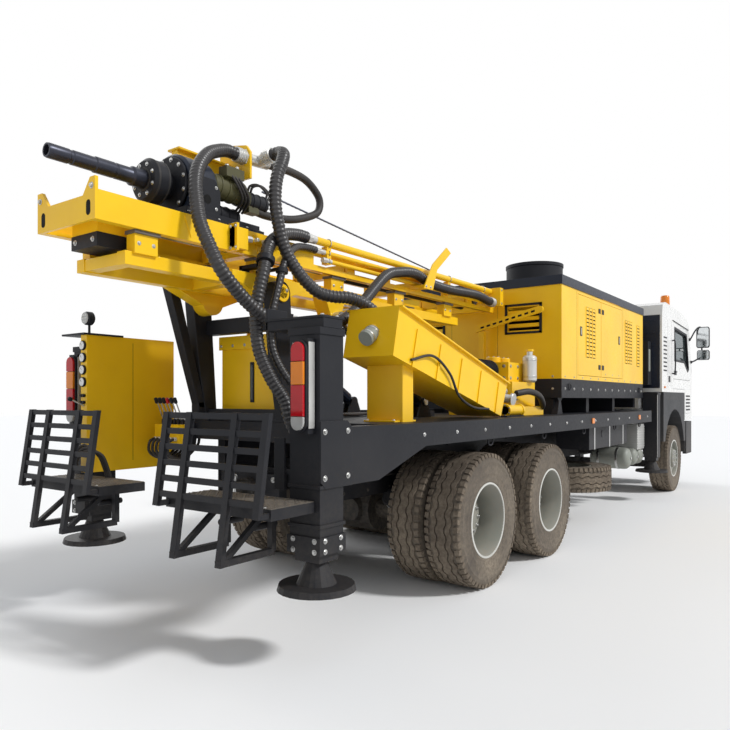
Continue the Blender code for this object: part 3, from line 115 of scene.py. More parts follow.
def noise(tree, coords, scale, detail=4.0, roughness=0.55):
    node = tree.nodes.new("ShaderNodeTexNoise")
    node.inputs["Scale"].default_value = scale
    node.inputs["Detail"].default_value = detail
    node.inputs["Roughness"].default_value = roughness
    link(tree, coords, node.inputs["Vector"])
    return node.outputs["Fac"]


def mapped(tree, value, low, high, to_low, to_high):
    node = tree.nodes.new("ShaderNodeMapRange")
    node.clamp = True
    for name, number in (("From Min", low), ("From Max", high), ("To Min", to_low), ("To Max", to_high)):
        node.inputs[name].default_value = number
    link(tree, value, node.inputs["Value"])
    return node.outputs["Result"]


def mixed(tree, share, first, second):
    """Colour between two others; each is a colour or a socket."""
    node = tree.nodes.new("ShaderNodeMix")
    node.data_type = "RGBA"
    link(tree, share, node.inputs["Factor"])
    for colour, socket in ((first, node.inputs[6]), (second, node.inputs[7])):
        if isinstance(colour, tuple):
            socket.default_value = (*colour, 1.0)
        else:
            link(tree, colour, socket)
    return node.outputs[2]


def product(tree, first, second):
    node = tree.nodes.new("ShaderNodeMath")
    node.operation = "MULTIPLY"
    link(tree, first, node.inputs[0])
    link(tree, second, node.inputs[1])
    return node.outputs[0]


DUST = (0.30, 0.25, 0.19)


def finish(name, colour, shade=None, rough=0.4, metallic=0.0, grain=60.0, bump=0.05, depth=0.002, dust=0.25,
           dust_top=1.3, coat=0.0, specular=0.5):
    """A painted, rubber or metal surface: cloudy colour, fine grain, and dust that thins out upwards."""
    made = bpy.data.materials.new(name)
    made.use_nodes = True
    tree = made.node_tree
    shader = tree.nodes["Principled BSDF"]
    coords = tree.nodes.new("ShaderNodeTexCoord").outputs["Object"]
    shade = shade or tuple(c * 0.80 for c in colour)
    clouds = noise(tree, coords, 2.2)
    base = mixed(tree, mapped(tree, clouds, 0.35, 0.70, 0.0, 1.0), colour, shade)
    specks = noise(tree, coords, 34.0, 6.0, 0.7)
    height = tree.nodes.new("ShaderNodeSeparateXYZ")
    link(tree, coords, height.inputs[0])
    low = mapped(tree, height.outputs["Z"], 0.15, dust_top, dust, dust * 0.08)
    patches = product(tree, mapped(tree, clouds, 0.30, 0.75, 0.4, 1.6),
            mapped(tree, specks, 0.35, 0.62, 0.2, 1.0))
    dusty = product(tree, low, patches)
    link(tree, mixed(tree, dusty, base, DUST), shader.inputs["Base Color"])
    link(tree, mapped(tree, specks, 0.3, 0.7, max(rough - 0.07, 0.02), rough + 0.10),
         shader.inputs["Roughness"])
    shader.inputs["Metallic"].default_value = metallic
    shader.inputs["Specular IOR Level"].default_value = specular
    shader.inputs["Coat Weight"].default_value = coat
    shader.inputs["Coat Roughness"].default_value = 0.12
    relief = tree.nodes.new("ShaderNodeBump")
    relief.inputs["Strength"].default_value = bump
    relief.inputs["Distance"].default_value = depth
    link(tree, noise(tree, coords, grain, 3.0, 0.6), relief.inputs["Height"])
    link(tree, relief.outputs["Normal"], shader.inputs["Normal"])
    return made


def clear(name, colour, rough=0.03, transmission=0.9):
    """Tinted glass or a lamp lens."""
    made = bpy.data.materials.new(name)
    made.use_nodes = True
    tree = made.node_tree
    shader = tree.nodes["Principled BSDF"]
    coords = tree.nodes.new("ShaderNodeTexCoord").outputs["Object"]
    film = noise(tree, coords, 9.0)
    link(tree, mixed(tree, mapped(tree, film, 0.4, 0.8, 0.0, 0.25), colour, tuple(c * 0.8 for c in colour)),
         shader.inputs["Base Color"])
    link(tree, mapped(tree, film, 0.4, 0.8, rough, rough + 0.06), shader.inputs["Roughness"])
    shader.inputs["Transmission Weight"].default_value = transmission
    shader.inputs["IOR"].default_value = 1.45
    return made


YELLOW = finish("yellow_paint", (0.92, 0.56, 0.010), (0.85, 0.50, 0.009), rough=0.33, dust=0.10, coat=0.08,
        specular=0.28)
BLACK = finish("black_paint", (0.012, 0.013, 0.017), (0.017, 0.018, 0.022), rough=0.48, dust=0.12,
        specular=0.18)
NAVY = finish("roof_paint", (0.007, 0.012, 0.026), (0.010, 0.015, 0.029), rough=0.38, dust=0.08,
        specular=0.3)
WHITE = finish("white_paint", (0.76, 0.76, 0.745), (0.68, 0.68, 0.665), rough=0.28, dust=0.22, coat=0.3)
PLASTIC = finish("grey_plastic", (0.030, 0.032, 0.036), (0.045, 0.046, 0.050), rough=0.6, bump=0.15,
        dust=0.22, specular=0.3)
TYRE = finish("tyre_rubber", (0.078, 0.066, 0.056), (0.110, 0.092, 0.074), rough=0.85, grain=90.0, bump=0.3,
        depth=0.004, dust=0.55, dust_top=1.9, specular=0.25)
TREAD = finish("tread_rubber", (0.072, 0.056, 0.044), (0.115, 0.088, 0.065), rough=0.9, grain=110.0,
        bump=0.35, depth=0.004, dust=0.75, dust_top=2.4, specular=0.2)
HOSE = finish("hose_rubber", (0.014, 0.013, 0.015), (0.024, 0.022, 0.023), rough=0.36, grain=120.0,
        bump=0.1, dust=0.15, specular=0.5)
PLAIN_HOSE = finish("plain_hose", (0.022, 0.020, 0.020), (0.036, 0.032, 0.030), rough=0.55, grain=150.0,
        bump=0.2, dust=0.15, specular=0.35)
RIM = finish("rim_paint", (0.20, 0.21, 0.18), (0.27, 0.27, 0.24), rough=0.55, dust=0.5)
BEAD = finish("rim_edge", (0.66, 0.66, 0.62), (0.54, 0.54, 0.50), rough=0.45, dust=0.15)
STEEL = finish("bare_steel", (0.55, 0.55, 0.54), (0.42, 0.42, 0.41), rough=0.30, metallic=1.0, dust=0.05)
ROD_STEEL = finish("rod_steel", (0.030, 0.034, 0.050), (0.045, 0.046, 0.060), rough=0.34, metallic=0.7,
        dust=0.05)
ALLOY = finish("cast_alloy", (0.62, 0.62, 0.60), (0.50, 0.50, 0.48), rough=0.38, metallic=0.6, dust=0.1)
OLIVE = finish("olive_paint", (0.085, 0.080, 0.030), (0.055, 0.052, 0.022), rough=0.5, dust=0.15,
        specular=0.4)
CAST = finish("cast_metal", (0.020, 0.020, 0.021), (0.035, 0.032, 0.029), rough=0.6, grain=45.0, bump=0.3,
        dust=0.5, specular=0.3)
TANK = finish("tank_paint", (0.25, 0.27, 0.24), (0.19, 0.20, 0.18), rough=0.5, dust=0.35)
PLATE = finish("worn_plate", (0.15, 0.135, 0.12), (0.07, 0.065, 0.06), rough=0.55, metallic=0.4, grain=70.0,
        bump=0.2, dust=0.7, dust_top=2.0)
CLOTH = finish("seat_cloth", (0.045, 0.046, 0.052), (0.060, 0.060, 0.066), rough=0.9, grain=260.0, bump=0.3,
        dust=0.1, specular=0.1)
GLASS = clear("tinted_glass", (0.16, 0.21, 0.21), 0.02, 0.85)
RED = clear("red_lens", (0.55, 0.008, 0.016), 0.12, 0.15)
AMBER = clear("amber_lens", (0.90, 0.26, 0.012), 0.15, 0.20)
CLEAR = clear("clear_lens", (0.80, 0.80, 0.78), 0.10, 0.50)
MIRROR = finish("mirror_glass", (0.75, 0.78, 0.80), (0.70, 0.73, 0.75), rough=0.05, metallic=1.0, bump=0.0,
        dust=0.02)
# Painted shade: near-black laid in holes, slots, louvre grounds, gaps and creases where only shade falls;
# also the plain black of gauge needles.
SHADE_AND_BLACK = finish("painted_shade_and_black", (0.004, 0.004, 0.004), (0.007, 0.007, 0.007), rough=0.8, dust=0.1, specular=0.2)
ROPE = finish("wire_rope", (0.09, 0.10, 0.14), (0.14, 0.15, 0.19), rough=0.45, metallic=0.6, dust=0.05)

# Finish of each node of the frame that stays in view
NODE_FINISH = (
    (BLACK, ("truck_frame", "rear_springs", "front_axle", "deck_frame", "jack_leg_rear_L",
             "jack_leg_rear_R", "jack_leg_front_L", "jack_leg_front_R", "platform_L", "platform_R",
             "compressor_base", "knuckle_L", "knuckle_R", "fuel_tank")),
    (CAST, ("rear_axle_1", "rear_axle_2", "power_train", "compressor_block")),
    (YELLOW, ("centre_tank", "trough", "compressor_housing", "house_door_1_L", "house_door_1_R",
              "house_door_2_L", "house_door_2_R")),
    (WHITE, ("cab_shell", "cab_door_L", "cab_door_R")),
    (PLASTIC, ("cab_interior", "front_bumper", "mudguard_L", "mudguard_R")),
    (NAVY, ("lift_barrel_L", "lift_barrel_R")),
    (STEEL, ("lift_rod_L", "lift_rod_R")),
    (GLASS, ("windscreen",)),
)


def dress_frame():
    """Finish and softened edges on the nodes that stay in view."""
    for material, names in NODE_FINISH:
        for name in names:
            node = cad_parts[name]
            node.data.materials.clear()
            node.data.materials.append(material)
            soft = node.modifiers.new("soft_edges", "BEVEL")
            soft.width = 0.004
            soft.segments = 2
            soft.limit_method = "ANGLE"
            soft.angle_limit = math.radians(40)
            soft.harden_normals = False


# Mesh building blocks

def axis_turn(along):
    """Rotation that brings Z onto a direction."""
    return Vector(along).to_track_quat("Z", "Y").to_matrix()


def around(centre, turn, radius, height, count, shift=0.0):
    """Points evenly spaced round an axis, at a height along it."""
    return [Vector(centre) + turn @ Vector((radius * math.cos(a), radius * math.sin(a), height))
            for a in (2 * math.pi * (i + shift) / count for i in range(count))]


def block(bm, x, y, z):
    """A block between two values on each axis."""
    spans = [sorted(span) for span in (x, y, z)]
    made = bmesh.ops.create_cube(bm, size=1.0)["verts"]
    bmesh.ops.scale(bm, vec=[hi - lo for lo, hi in spans], verts=made)
    bmesh.ops.translate(bm, vec=[(hi + lo) / 2 for lo, hi in spans], verts=made)


def bar(bm, start, end, radius, end_radius=None, sides=20):
    """A round bar or a cone between two points."""
    start, end = Vector(start), Vector(end)
    if end_radius is None:
        end_radius = radius
    made = bmesh.ops.create_cone(bm, cap_ends=True, segments=sides, radius1=radius, radius2=end_radius,
            depth=(end - start).length)["verts"]
    turn = axis_turn(end - start).to_4x4()
    bmesh.ops.transform(bm, matrix=Matrix.Translation((start + end) / 2) @ turn, verts=made)


AXES = {
    "X": Matrix(((0, 0, 1), (1, 0, 0), (0, 1, 0))), "Y": Matrix(((1, 0, 0), (0, 0, 1), (0, 1, 0))),
    "Z": Matrix.Identity(3),
}


def sheet(bm, outline, span, across="Y"):
    """A flat outline, (X, Z) across Y, (Y, Z) across X or (X, Y) across Z, with its thickness."""
    turn = AXES[across]
    rings = [[bm.verts.new(turn @ Vector((u, v, w))) for u, v in outline] for w in span]
    bm.faces.new(rings[0])
    bm.faces.new(rings[1][::-1])
    count = len(outline)
    for i in range(count):
        j = (i + 1) % count
        bm.faces.new((rings[0][j], rings[0][i], rings[1][i], rings[1][j]))


def lathe(bm, profile, start, along, sides=48):
    """A profile of (radius, height) turned about the line from start along a direction."""
    along = Vector(along).normalized()
    turn = axis_turn(along)
    rings = []
    for radius, height in profile:
        if radius == 0:
            rings.append([bm.verts.new(Vector(start) + turn @ Vector((0, 0, height)))])
            continue
        rings.append([bm.verts.new(point) for point in around(start, turn, radius, height, sides)])
    for low, high in zip(rings, rings[1:]):
        for i in range(sides):
            j = (i + 1) % sides
            if len(low) == 1 and len(high) == 1:
                continue
            if len(low) == 1:
                bm.faces.new((low[0], high[j], high[i]))
            elif len(high) == 1:
                bm.faces.new((low[i], low[j], high[0]))
            else:
                bm.faces.new((low[i], low[j], high[j], high[i]))


def sweep(bm, route, radii, sides=16):
    """A round tube along a route; radii is one number or one for each point."""
    points = [Vector(p) for p in route]
    if not isinstance(radii, list):
        radii = [radii] * len(points)
    ways = [(points[min(i + 1, len(points) - 1)] - points[max(i - 1, 0)]).normalized()
            for i in range(len(points))]
    side = ways[0].orthogonal().normalized()
    rings = []
    for point, way, radius in zip(points, ways, radii):
        side = (side - way * side.dot(way)).normalized()
        other = way.cross(side)
        rings.append([bm.verts.new(point + radius * (math.cos(a) * side + math.sin(a) * other))
                for a in (2 * math.pi * i / sides for i in range(sides))])
    for low, high in zip(rings, rings[1:]):
        for i in range(sides):
            j = (i + 1) % sides
            bm.faces.new((low[i], low[j], high[j], high[i]))
    bm.faces.new(rings[0][::-1])
    bm.faces.new(rings[-1])


def bolts(bm, places, along, radius=0.012, height=0.009):
    """Hexagon heads on washers."""
    along = Vector(along).normalized()
    for place in places:
        place = Vector(place)
        bar(bm, place - along * 0.002, place + along * height * 0.25, radius * 1.5, sides=16)
        bar(bm, place, place + along * height, radius, radius * 0.92, sides=6)


def smooth_route(points, step):
    """Evenly spaced points on a smooth curve through the given points."""
    ends = [2 * Vector(points[0]) - Vector(points[1])] + [Vector(p) for p in points]
    ends.append(2 * Vector(points[-1]) - Vector(points[-2]))
    fine = []
    for a, b, c, d in zip(ends, ends[1:], ends[2:], ends[3:]):
        for i in range(24):
            t = i / 24
            fine.append(0.5 * (2 * b + (c - a) * t + (2 * a - 5 * b + 4 * c - d) * t * t
                               + (3 * b - a - 3 * c + d) * t ** 3))
    fine.append(ends[-2])
    length = sum((q - p).length for p, q in zip(fine, fine[1:]))
    count = max(2, round(length / step))
    route, gone, k = [fine[0]], 0.0, 0
    for i in range(1, count):
        goal = length * i / count
        while gone + (fine[k + 1] - fine[k]).length < goal:
            gone += (fine[k + 1] - fine[k]).length
            k += 1
        route.append(fine[k].lerp(fine[k + 1], (goal - gone) / (fine[k + 1] - fine[k]).length))
    route.append(fine[-1])
    return route


def placed(name, bm, material, body=None, stands_for=(), soft=0.0, smooth=35):
    """The finished piece: in the frame, with its finish, riding on its body."""
    bmesh.ops.recalc_face_normals(bm, faces=bm.faces)
    mesh = bpy.data.meshes.new(name)
    bm.to_mesh(mesh)
    bm.free()
    mesh.transform(Matrix.Translation((-MID_X, 0, 0)))
    mesh.shade_smooth()
    mesh.set_sharp_from_angle(angle=math.radians(smooth))
    mesh.materials.append(material)
    made = bpy.data.objects.new(name, mesh)
    bpy.context.scene.collection.objects.link(made)
    if soft:
        edges = made.modifiers.new("soft_edges", "BEVEL")
        edges.width = soft
        edges.segments = 2
        edges.limit_method = "ANGLE"
        edges.angle_limit = math.radians(38)
    if body:
        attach(made, body)
    if stands_for:
        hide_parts(*stands_for)
    return made


class Zone:
    """Forms that ride on one body, gathered by finish; closing it makes one piece of each finish."""

    def __init__(self, name, body):
        self.name = name
        self.body = body
        self.forms = {}

    def __call__(self, finish):
        if finish.name not in self.forms:
            self.forms[finish.name] = bmesh.new()
        return self.forms[finish.name]

    def close(self, stands_for=(), soft=0.0, smooth=35):
        for finish, bm in self.forms.items():
            name = f"{self.name}_{finish}"
            placed(name, bm, bpy.data.materials[finish], self.body, stands_for, soft, smooth)


# Wheels

RIBS = ((-0.033, 0.033), (0.047, 0.085), (-0.085, -0.047))     # edges of the tread's ribs from its middle
SHOULDERS = ((0.099, 0.143), (-0.143, -0.099))
GROOVE = 0.014
TREAD_STEPS = 112
LUGS = 56


def tyre_body(bm, centre, along):
    """Carcass with its sidewall rings, up to the floor of the tread's grooves."""
    half = TYRE_W / 2
    tread = TYRE_R - GROOVE
    side = [
        (RIM_R - 0.004, half - 0.030), (RIM_R + 0.006, half - 0.012), (0.325, half - 0.006),
        (0.332, half - 0.010), (0.372, half - 0.003), (0.378, half - 0.001), (0.384, half - 0.003),
        (0.44, half), (0.462, half - 0.001), (0.468, half + 0.002), (0.476, half + 0.002),
        (0.482, half - 0.002), (0.505, half - 0.005), (0.525, half - 0.012), (tread, half - 0.028),
    ]
    profile = side + [(r, -h) for r, h in reversed(side)] + [side[0]]
    lathe(bm, profile, centre, along, 72)


def tread_block(bm, rings, closed):
    """Faces between the cross sections of a rib or a lug."""
    count = len(rings)
    for i in range(count if closed else count - 1):
        here, there = rings[i], rings[(i + 1) % count]
        for j in range(3):
            bm.faces.new((here[j], here[j + 1], there[j + 1], there[j]))
    if not closed:
        bm.faces.new(rings[0])
        bm.faces.new(rings[-1][::-1])


def tyre_tread(bm, centre, along):
    """Zigzag ribs and rows of shoulder lugs."""
    turn = axis_turn(along)
    centre = Vector(centre)

    def point(angle, radius, height):
        return bm.verts.new(centre + turn @ Vector((radius * math.cos(angle), radius * math.sin(angle),
                height)))

    low = TYRE_R - GROOVE - 0.004
    for near, far in RIBS:
        rings = []
        for i in range(TREAD_STEPS):
            angle = 2 * math.pi * i / TREAD_STEPS
            zig = 0.008 if (i // 2) % 2 else -0.008
            rings.append([point(angle, low, near + zig), point(angle, TYRE_R, near + zig),
                    point(angle, TYRE_R, far + zig), point(angle, low, far + zig)])
        tread_block(bm, rings, True)
    for near, far in SHOULDERS:
        outer = near if abs(near) > abs(far) else far
        for i in range(LUGS):
            angle = 2 * math.pi * (i + 0.5 * (near < 0)) / LUGS
            span = 2 * math.pi / LUGS * 0.68
            rings = []
            for share in (-0.5, 0.0, 0.5):
                a = angle + span * share
                zig = 0.006 * (1 if share == 0.0 else -1)
                inner = far + near - outer + math.copysign(zig, outer)
                rings.append([point(a, low, inner), point(a, TYRE_R - 0.001, inner),
                        point(a, TYRE_R - 0.006, outer), point(a, low - 0.022, outer * 1.045)])
            tread_block(bm, rings, False)


def rim_dish(bm, centre, along, depth, hub):
    """Rim well and disc, with the hub that fills it."""
    profile = [
        (RIM_R + 0.004, 0.135), (RIM_R - 0.010, 0.140), (RIM_R - 0.018, 0.130), (RIM_R - 0.026, 0.085),
        (RIM_R - 0.040, 0.06), (RIM_R - 0.046, -0.02), (RIM_R - 0.060, depth + 0.02), (0.215, depth),
        (0.205, depth - 0.012), (0.16, depth - 0.004), (0.155, hub - 0.02), (0.14, hub), (0.05, hub),
        (0.045, hub + 0.008), (0, hub + 0.008),
    ]
    lathe(bm, profile, centre, along, 64)


def wheel_piece(name, body, centre, along, hub, depth, twin_y=None):
    """Tyres with tread, painted rim with its bright edge ring, and nuts, for one wheel."""
    along = Vector(along)
    places = [Vector(centre)] + ([Vector(centre) + along * twin_y] if twin_y else [])
    carcass = bmesh.new()
    tread = bmesh.new()
    for place in places:
        tyre_body(carcass, place, along)
        tyre_tread(tread, place, along)
    placed(f"{name}_tyre", carcass, TYRE, body, (body,), smooth=50)
    placed(f"{name}_tread", tread, TREAD, body, smooth=30)
    dish = bmesh.new()
    rim_dish(dish, places[0], along, depth, hub)
    if twin_y:
        lathe(dish, [(RIM_R - 0.01, -0.14), (RIM_R - 0.05, -0.06), (RIM_R - 0.05, 0.12),
              (RIM_R - 0.01, 0.14)], places[1], along, 64)
        lathe(dish, [(0, -0.16), (0.20, -0.16), (0.21, 0.05), (0.19, 0.30), (0, 0.30)], places[1], along,
              48)
    placed(f"{name}_rim", dish, RIM, body, smooth=40)
    edge = bmesh.new()
    lathe(edge, [(RIM_R - 0.017, 0.128), (RIM_R - 0.010, 0.142), (RIM_R + 0.004, 0.140),
          (RIM_R + 0.006, 0.128)], places[0], along, 72)
    placed(f"{name}_edge", edge, BEAD, body, smooth=50)
    nuts = bmesh.new()
    bolts(nuts, around(places[0], axis_turn(along), 0.118, hub, 10), along, 0.013, 0.016)
    placed(f"{name}_nuts", nuts, STEEL, body, soft=0.001)


def wheels():
    for letter, side in SIDES:
        along = (0, side, 0)
        mid = TWIN_OUTER_Y - TYRE_W / 2
        for number, x in enumerate(REAR_AXLE_X, 1):
            wheel_piece(f"wheel_{number}_{letter}", f"rear_wheel_{number}_{letter}",
                        (x, side * mid, AXLE_Z), along, -0.02, -0.13, -(TYRE_W + TWIN_GAP))
        wheel_piece(f"wheel_front_{letter}", f"front_wheel_{letter}", (FRONT_AXLE_X,
                    side * (FRONT_OUTER_Y - TYRE_W / 2), AXLE_Z), along, 0.145, 0.07)
    spare = bmesh.new()
    tyre_body(spare, SPARE, (0, 0, 1))
    placed("spare_tyre", spare, TYRE, "machine", ("spare_wheel",), smooth=50)
    tread = bmesh.new()
    tyre_tread(tread, SPARE, (0, 0, 1))
    placed("spare_tread", tread, TREAD, "machine", smooth=30)
    dish = bmesh.new()
    rim_dish(dish, SPARE, (0, 0, 1), 0.03, 0.05)
    bar(dish, (SPARE[0], SPARE[1] + 0.27, SPARE[2] + 0.05), (SPARE[0], SPARE[1] + 0.27, 0.739), 0.03)
    placed("spare_rim", dish, RIM, "machine", smooth=40)


# Hoses and rope

HOSE_R = 0.045
SMALL_HOSE_R = 0.028
HOSE_HEAD = [
    (-1.49, -0.27, 3.27), (-1.49, -0.33, 3.27), (-1.56, -0.44, 3.20), (-1.66, -0.47, 3.02),
    (-1.68, -0.48, 2.80), (-1.58, -0.50, 2.50), (-1.38, -0.60, 2.27), (-1.12, -0.74, 2.235),
    (-0.86, -0.80, 2.10), (-0.62, -0.82, 1.92),
]
HOSE_MAST = [
    (-1.72, -0.125, 3.24), (-1.79, -0.125, 3.24), (-1.89, -0.155, 3.205), (-2.036, -0.21, 3.127),
    (-2.169, -0.28, 2.997), (-2.238, -0.33, 2.868), (-2.263, -0.37, 2.744), (-2.278, -0.42, 2.598),
    (-2.26, -0.485, 2.45), (-2.202, -0.53, 2.302), (-2.024, -0.545, 2.145), (-1.825, -0.565, 2.039),
    (-1.57, -0.60, 1.99), (-1.306, -0.60, 2.043), (-1.037, -0.57, 2.122), (-0.76, -0.52, 2.27),
    (-0.34, -0.45, 2.55), (-0.07, -0.42, 2.63), (0.20, -0.41, 2.66), (0.46, -0.41, 2.61),
    (0.86, -0.41, 2.60), (1.40, -0.41, 2.62), (1.74, -0.385, 2.60), (1.8997, -0.365, 2.60),
]
HOSE_UPPER = [
    (-1.2103, -0.335, 2.725), (-1.30, -0.335, 2.725), (-1.463, -0.36, 2.692), (-1.62, -0.40, 2.62),
    (-1.7118, -0.4363, 2.5399), (-1.7500, -0.4537, 2.4567),
]
HOSE_LOWER = [
    (-1.7560, -0.4563, 2.4433), (-1.7942, -0.4737, 2.3601), (-1.835, -0.47, 2.20), (-1.85, -0.462, 2.04),
    (-1.837, -0.48, 1.842), (-1.80, -0.55, 1.66), (-1.748, -0.62, 1.52), (-1.73, -0.64, 1.42),
    (-1.69, -0.65, 1.335), (-1.625, -0.65, 1.29), (-1.566, -0.65, 1.28),
]
SMALL_UPPER = [
    (-1.103, -0.335, 2.65), (-1.19, -0.338, 2.65), (-1.34, -0.365, 2.625), (-1.48, -0.42, 2.555),
    (-1.585, -0.475, 2.47), (-1.64, -0.50, 2.40),
]
SMALL_LOWER = [
    (-1.648, -0.503, 2.38), (-1.70, -0.506, 2.23), (-1.745, -0.50, 2.04), (-1.745, -0.52, 1.84),
    (-1.695, -0.60, 1.66), (-1.60, -0.69, 1.53), (-1.545, -0.725, 1.45), (-1.53, -0.73, 1.375),
]
RIB_PITCH = 0.029
RIB = (1.0, 0.985, 0.94, 0.895, 0.89, 0.935)    # radius through one pitch of the hose's spiral
ROPE_R = 0.0065


def ribbed_hose(name, route, radius):
    """A hose with a raised guard spiral: its radius rises once in each pitch."""
    fine = smooth_route(route, RIB_PITCH / len(RIB))
    count = len(fine)
    radii = [radius * RIB[i % len(RIB)] for i in range(count)]
    bm = bmesh.new()
    sweep(bm, fine, radii, 20)
    return placed(name, bm, HOSE, smooth=80), fine


def free_hose(name, route, radius, node=None):
    """A hose between the two bodies that hold its ends, baked in place along its route."""
    made, fine = ribbed_hose(name, route, radius)
    if node:
        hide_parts(node)
    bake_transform(made)


def hoses():
    route = [Vector(HOSE_HEAD[0])] + smooth_route(HOSE_HEAD[1:], 0.11)
    free_hose("head_hose", route, HOSE_R, "hose_head")
    free_hose("mast_hose", HOSE_MAST, HOSE_R)
    free_hose("upper_hose", HOSE_UPPER, HOSE_R)
    free_hose("lower_hose", HOSE_LOWER, HOSE_R)
    free_hose("small_upper_hose", SMALL_UPPER, SMALL_HOSE_R)
    free_hose("small_lower_hose", SMALL_LOWER, SMALL_HOSE_R)


def rope():
    """Taut wire rope from the head to the sheave at the mast's front end."""
    start = Vector((-1.43, -0.10, 3.05))
    end = Vector((1.98, -0.10, 2.765))
    count = 260
    bm = bmesh.new()
    route = [start.lerp(end, i / count) for i in range(count + 1)]
    sweep(bm, route, ROPE_R, 8)
    for strand in range(3):
        twisted = []
        for i, point in enumerate(route):
            a = i * 0.55 + strand * 2 * math.pi / 3
            twisted.append(point + Vector((0, math.cos(a), math.sin(a))) * ROPE_R * 0.45)
        sweep(bm, twisted, ROPE_R * 0.75, 6)
    made = placed("feed_rope", bm, ROPE, smooth=60)
    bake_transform(made)


# Forms shared by the rig's pieces

def sided(side, span):
    return tuple(sorted(side * value for value in span))


def drum(bm, start, end, radius, chamfer=0.006, sides=40):
    """A turned drum with chamfered ends."""
    start, end = Vector(start), Vector(end)
    length = (end - start).length
    c = min(chamfer, 0.45 * length)
    profile = [
        (0, 0), (radius - c, 0), (radius, c), (radius, length - c), (radius - c, length), (0, length),
    ]
    lathe(bm, profile, start, end - start, sides)


def axial(bm, x, y, z, radius, chamfer=0.006, sides=40):
    """A drum along the axis whose place is a pair of values, its two ends."""
    start, end = ([v[i] if isinstance(v, tuple) else v for v in (x, y, z)] for i in (0, 1))
    drum(bm, start, end, radius, chamfer, sides)


def bolt_ring(bm, centre, along, ring, count, radius=0.010, height=0.009):
    """Bolts evenly round a centre."""
    along = Vector(along).normalized()
    bolts(bm, around(centre, axis_turn(along), ring, 0, count, 0.5), along, radius, height)


def row(first, last, count):
    """Evenly spaced values, both ends included."""
    return [first + (last - first) * i / (count - 1) for i in range(count)]


def arc(centre, radius, start, end, count):
    """Points on an arc, angles in degrees."""
    steps = [math.radians(a) for a in row(start, end, count)]
    return [(centre[0] + radius * math.cos(a), centre[1] + radius * math.sin(a)) for a in steps]


def pipe(bm, route, radius, step=0.02, sides=14):
    """A bent pipe or short fixed hose through a few points."""
    sweep(bm, smooth_route(route, step), radius, sides)


def ferrule(bm, start, end, radius):
    """A crimped hose end with its rings."""
    start, end = Vector(start), Vector(end)
    length = (end - start).length
    profile = [(0, 0), (radius * 0.9, 0)]
    rings = 5
    for i in range(rings):
        low = length * (i + 0.15) / rings
        high = length * (i + 0.75) / rings
        profile += [(radius * 0.88, low), (radius, low + 0.003), (radius, high),
                    (radius * 0.88, high + 0.003)]
    profile += [(radius * 0.9, length), (0, length)]
    lathe(bm, profile, start, end - start, 32)


# Rotary head

